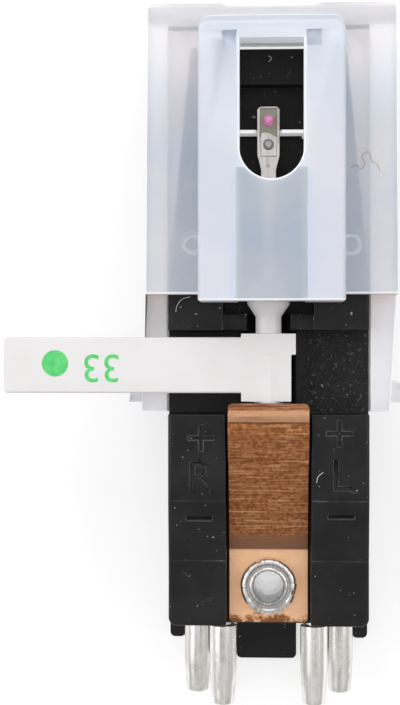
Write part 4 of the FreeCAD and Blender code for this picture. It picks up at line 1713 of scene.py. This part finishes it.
@dataclass
class StylusUnit:
    """Turning lever with its print, arm and two tips."""

    edge: float = 0.06
    arm_edge: float = 0.03
    tip_edge: float = 0.02
    print_level: float = 8.75
    print_sink: float = 0.01
    print_relief: float = 0.006
    dot_middle: Pair = (-11.76, 12.43)
    dot_radius: float = 0.73
    dot_steps: int = 64
    digits: str = "33"
    digits_middle: Pair = (-9.2, 12.25)
    digits_height: float = 1.55

    def build(self) -> None:
        """Build the lever, its print, the arm and the tips."""
        dress_node("turnover_lever", "lever_moulding", Body.STYLUS, WHITE, self.edge)
        dress_node("stylus_arm", "arm_strip", Body.STYLUS, ARM_METAL, self.arm_edge)
        dress_node("tip_fine", "fine_jewel", Body.STYLUS, PINK_JEWEL, self.tip_edge)
        dress_node("tip_coarse", "coarse_jewel", Body.STYLUS, GREY_JEWEL, self.tip_edge)
        self.build_print()

    def build_print(self) -> None:
        """Lay the green dot and the speed number on the tab's upper side."""
        low, high = -self.print_sink, self.print_relief
        disc = [(0.0, low), (self.dot_radius, low), (self.dot_radius, high), (0.0, high)]
        dot = turned_mesh("print_dot", disc, self.dot_steps, (*self.dot_middle, self.print_level))
        new_piece("print_dot", dot, Body.STYLUS, GREEN_INK)
        middle = Vector((*self.digits_middle, self.print_level)) * MM
        place = Matrix.Translation(middle) @ Matrix.Rotation(math.pi, 4, "Z")
        speed = lettering_mesh("print_speed", self.digits, self.digits_height, self.print_relief, place)
        new_piece("print_speed", speed, Body.STYLUS, GREEN_INK)


@dataclass
class Coupling:
    """White yoke, piezo bars, clamps and dampers inside the body."""

    edge: float = 0.03
    sides: tuple[str, ...] = ("left", "right")

    def build(self) -> None:
        """Dress the yoke and finish the inner pieces."""
        dress_node("coupling_yoke", "yoke_moulding", Body.CARTRIDGE, YOKE_WHITE, self.edge)
        for side in self.sides:
            finish_node(f"element_{side}", CERAMIC)
            finish_node(f"clamp_{side}", RUBBER)
            finish_node(f"damper_{side}", RUBBER)


@dataclass
class GuardShell:
    """Frosted pull-off guard, thin over the stylus and thick at the hump's rails."""

    edge: float = 0.11
    edge_degrees: float = 40.0
    join: float = 0.02
    middle: float = 0.17
    pockets: Pair = (1.8, 2.7)
    pocket_rear: float = 29.2
    groove_half: float = 1.9
    groove_front: float = 22.85
    window_half: float = 1.72
    window_ends: Pair = (22.24, 29.7)
    shoulder_rear: float = 16.2
    shoulder_level: float = 9.45
    shoulder_edge: float = 16.6
    hump_foot: float = 9.75
    hump_level: float = 10.65
    upright: float = 0.1
    slack: float = 0.05
    cut_slack: float = 0.01

    def build(self) -> None:
        """Build the shell with softly rounded edges and whiter rails."""
        mesh = clean_copy("stylus_guard", self.join)
        shell = new_piece("guard_shell", mesh, Body.GUARD, SHELL, ("stylus_guard",))
        for finish in (RAIL, BEAD, WING):
            mesh.materials.append(finish.material())
        self.split_rails(mesh)
        soften(shell, self.edge, self.edge_degrees, ShellPart.BEAD, self.bead_share)

    def bead_share(self, middle: Vector) -> float:
        """Choose how much of the bead's width an edge gets.

        Args:
            middle: the edge's middle in millimetres.

        Returns:
            The share of the width.
        """
        off = abs(middle.x - self.middle)
        on_hump = middle.z > self.hump_level
        low, high = self.pockets
        if middle.y > self.pocket_rear:
            at_pocket = on_hump and low < off < high
            return Bead.NONE.value if at_pocket else Bead.FRONT.value
        if middle.z > self.shoulder_level and middle.y < self.shoulder_edge:
            return Bead.REAR.value
        round_window = on_hump and off < self.window_half + self.slack
        return Bead.WINDOW.value if round_window else Bead.PLAIN.value

    def split_rails(self, mesh: bpy.types.Mesh) -> None:
        """Part the hump's top round the groove's thin roof, and the wings from the shoulders.

        Each face then gets the finish of its part.

        Args:
            mesh: the shell's mesh.
        """
        edit = open_edit(mesh)
        across = Vector((1, 0, 0))
        along = Vector((0, 1, 0))
        hump = (self.hump_foot, math.inf)
        cuts = [(across, self.middle + side * self.groove_half, hump) for side in (-1, 1)]
        cuts.append((along, self.groove_front, hump))
        cuts.append((along, self.shoulder_rear, (0.0, self.hump_foot)))
        for normal, place, (low, high) in cuts:
            parted = [f for f in edit.faces if low < f.calc_center_bounds().z / MM < high]
            near = {e for f in parted for e in f.edges} | {v for f in parted for v in f.verts} | set(parted)
            bmesh.ops.bisect_plane(edit, geom=list(near), dist=self.cut_slack * MM,
                                   plane_co=normal * place * MM, plane_no=normal)
        for face in edit.faces:
            face.material_index = self.face_part(face.calc_center_bounds() / MM, face.normal)
        close_edit(edit, mesh)

    def face_part(self, centre: Vector, normal: Vector) -> ShellPart:
        """Choose which part of the shell a face belongs to.

        Args:
            centre: the face's middle in millimetres.
            normal: the way it faces.

        Returns:
            The part. The shoulders and the skirt count as roof, and the window's walls as bead.
        """
        if centre.z < self.hump_foot:
            return ShellPart.WING if centre.y < self.shoulder_rear + self.slack else ShellPart.ROOF
        off = abs(centre.x - self.middle)
        rear, front = self.window_ends
        beside = off < self.window_half + self.slack and rear - self.slack < centre.y < front + self.slack
        if beside and abs(normal.z) < self.upright:
            return ShellPart.BEAD
        thick = off > self.groove_half or centre.y > self.groove_front
        return ShellPart.RAIL if thick else ShellPart.ROOF


@dataclass
class Lint:
    """Hair-fine fibres that lie on the dusty surfaces."""

    radius: float = 0.013
    round_steps: int = 2
    fibres: tuple[tuple[str, Body, tuple[Point, ...]], ...] = (
        ("lint_deck", Body.CARTRIDGE, ((-4.3, 16.1, 8.63), (-4.75, 15.95, 8.66), (-5.02, 15.6, 8.64),
                                       (-5.1, 15.25, 8.63))),
        ("lint_cheek", Body.CARTRIDGE, ((2.62, 5.92, 9.02), (2.7, 6.25, 9.04), (2.98, 6.5, 9.03))),
        ("lint_nose", Body.CARTRIDGE, ((0.0, 29.35, 8.35), (0.16, 29.2, 8.5), (0.02, 28.98, 8.63))),
        ("lint_shoulder", Body.GUARD, ((4.45, 23.0, 9.67), (4.75, 23.15, 9.69), (4.95, 22.95, 9.67),
                                       (5.2, 23.25, 9.69), (5.05, 23.6, 9.68), (5.4, 23.85, 9.69),
                                       (5.55, 23.4, 9.68), (5.85, 23.2, 9.67), (6.0, 22.85, 9.67))),
    )

    def build(self) -> None:
        """Lay every fibre as a thin bent thread, dark on the guard and pale on the black body."""
        for name, body, points in self.fibres:
            slot, finish = (Slot.GUARD, DARK_LINT) if body is Body.GUARD else (Slot.BLACK, LINT)
            new_piece(name, self.thread(name, points), body, finish)

    def thread(self, name: str, points: tuple[Point, ...]) -> bpy.types.Mesh:
        """Bend a round thread through some points.

        Args:
            name: the mesh's name.
            points: where it passes, in millimetres.

        Returns:
            The new mesh.
        """
        curve = bpy.data.curves.new(name, "CURVE")
        curve.dimensions = "3D"
        curve.bevel_depth = self.radius * MM
        curve.bevel_resolution = self.round_steps
        curve.use_fill_caps = True
        line = curve.splines.new("BEZIER")
        line.bezier_points.add(len(points) - 1)
        for knot, point in zip(line.bezier_points, points):
            knot.co = Vector(point) * MM
            knot.handle_left_type = "AUTO"
            knot.handle_right_type = "AUTO"
        return mesh_of(name, curve)


@dataclass
class Studio:
    """Pale floor, soft light and the photograph's viewpoint."""

    floor_half: float = 2000.0
    eye: Point = (0.0, 13.03, 90.0)
    aim: Point = (-4.16, 13.03, 0.0)
    image_height: float = 705.0
    focal_pixels: float = 1482.0
    sensor: float = 36.0
    clip: Pair = (1.0, 5000.0)
    sky_heights: Pair = (0.25, 0.95)
    sky_strengths: Pair = (0.55, 0.72)
    lamps: tuple[tuple[str, Point, float, float], ...] = (
        ("softbox_left", (-260.0, 60.0, 230.0), 260.0, 0.5),
        ("softbox_right", (260.0, 90.0, 230.0), 260.0, 0.4),
        ("softbox_front", (0.0, 300.0, 220.0), 240.0, 0.3),
    )

    def build(self) -> None:
        """Build the floor, the world, the lamps and the camera."""
        self.build_floor()
        self.build_world()
        for lamp in self.lamps:
            self.build_lamp(*lamp)
        self.build_camera()
        bpy.context.scene.view_settings.view_transform = "Standard"

    def build_floor(self) -> None:
        """Lay the pale floor."""
        half = self.floor_half * MM
        corners = ((-half, -half), (half, -half), (half, half), (-half, half))
        edit = bmesh.new()
        edit.faces.new([edit.verts.new((x, y, 0.0)) for x, y in corners])
        mesh = new_mesh("studio_floor", edit)
        floor = add_object("studio_floor", mesh)
        coat(mesh, FLOOR_PAINT)

    def build_world(self) -> None:
        """Light the set from all round, a little more from straight above."""
        world = bpy.data.worlds.new("studio_world")
        bpy.context.scene.world = world
        world.use_nodes = True
        wiring = Wiring(world.node_tree)
        height = wiring.axes(wiring.node("ShaderNodeTexCoord").outputs["Generated"])[2]
        strength = wiring.spread(height, *self.sky_heights, *self.sky_strengths)
        wiring.fill(world.node_tree.nodes["Background"], {"Color": grey(1.0), "Strength": strength})

    def build_lamp(self, name: str, place: Point, side: float, power: float) -> None:
        """Hang one square softbox aimed at the object.

        Args:
            name: the lamp's name.
            place: its middle in millimetres.
            side: its side in millimetres.
            power: its power in watts.
        """
        data = bpy.data.lights.new(name, "AREA")
        data.shape = "SQUARE"
        data.size = side * MM
        data.energy = power
        lamp = add_object(name, data)
        lamp.location = Vector(place) * MM
        aim = Vector(self.aim) * MM - lamp.location
        lamp.rotation_euler = aim.to_track_quat("-Z", "Y").to_euler()

    def build_camera(self) -> None:
        """Set the camera over the object, looking down."""
        data = bpy.data.cameras.new("camera")
        data.sensor_width = self.sensor
        data.lens = self.sensor * self.focal_pixels / self.image_height
        data.clip_start, data.clip_end = [distance * MM for distance in self.clip]
        camera = add_object("camera", data)
        camera.location = Vector(self.eye) * MM
        back = (Vector(self.eye) - Vector(self.aim)).normalized()
        right = Vector((0, 1, 0)).cross(back).normalized()
        turn = Matrix((right, back.cross(right), back)).transposed()
        camera.rotation_euler = turn.to_euler()
        bpy.context.scene.camera = camera


def main() -> None:
    """Build the set, then each sub-assembly in order."""
    logging.basicConfig(level=logging.INFO, format="%(name)s: %(message)s")
    for part in (Studio(), Housing(), SpringClip(), Terminals(), StylusUnit(), Coupling(), GuardShell(),
                 Lint()):
        part.build()


if __name__ == "__main__":
    main()
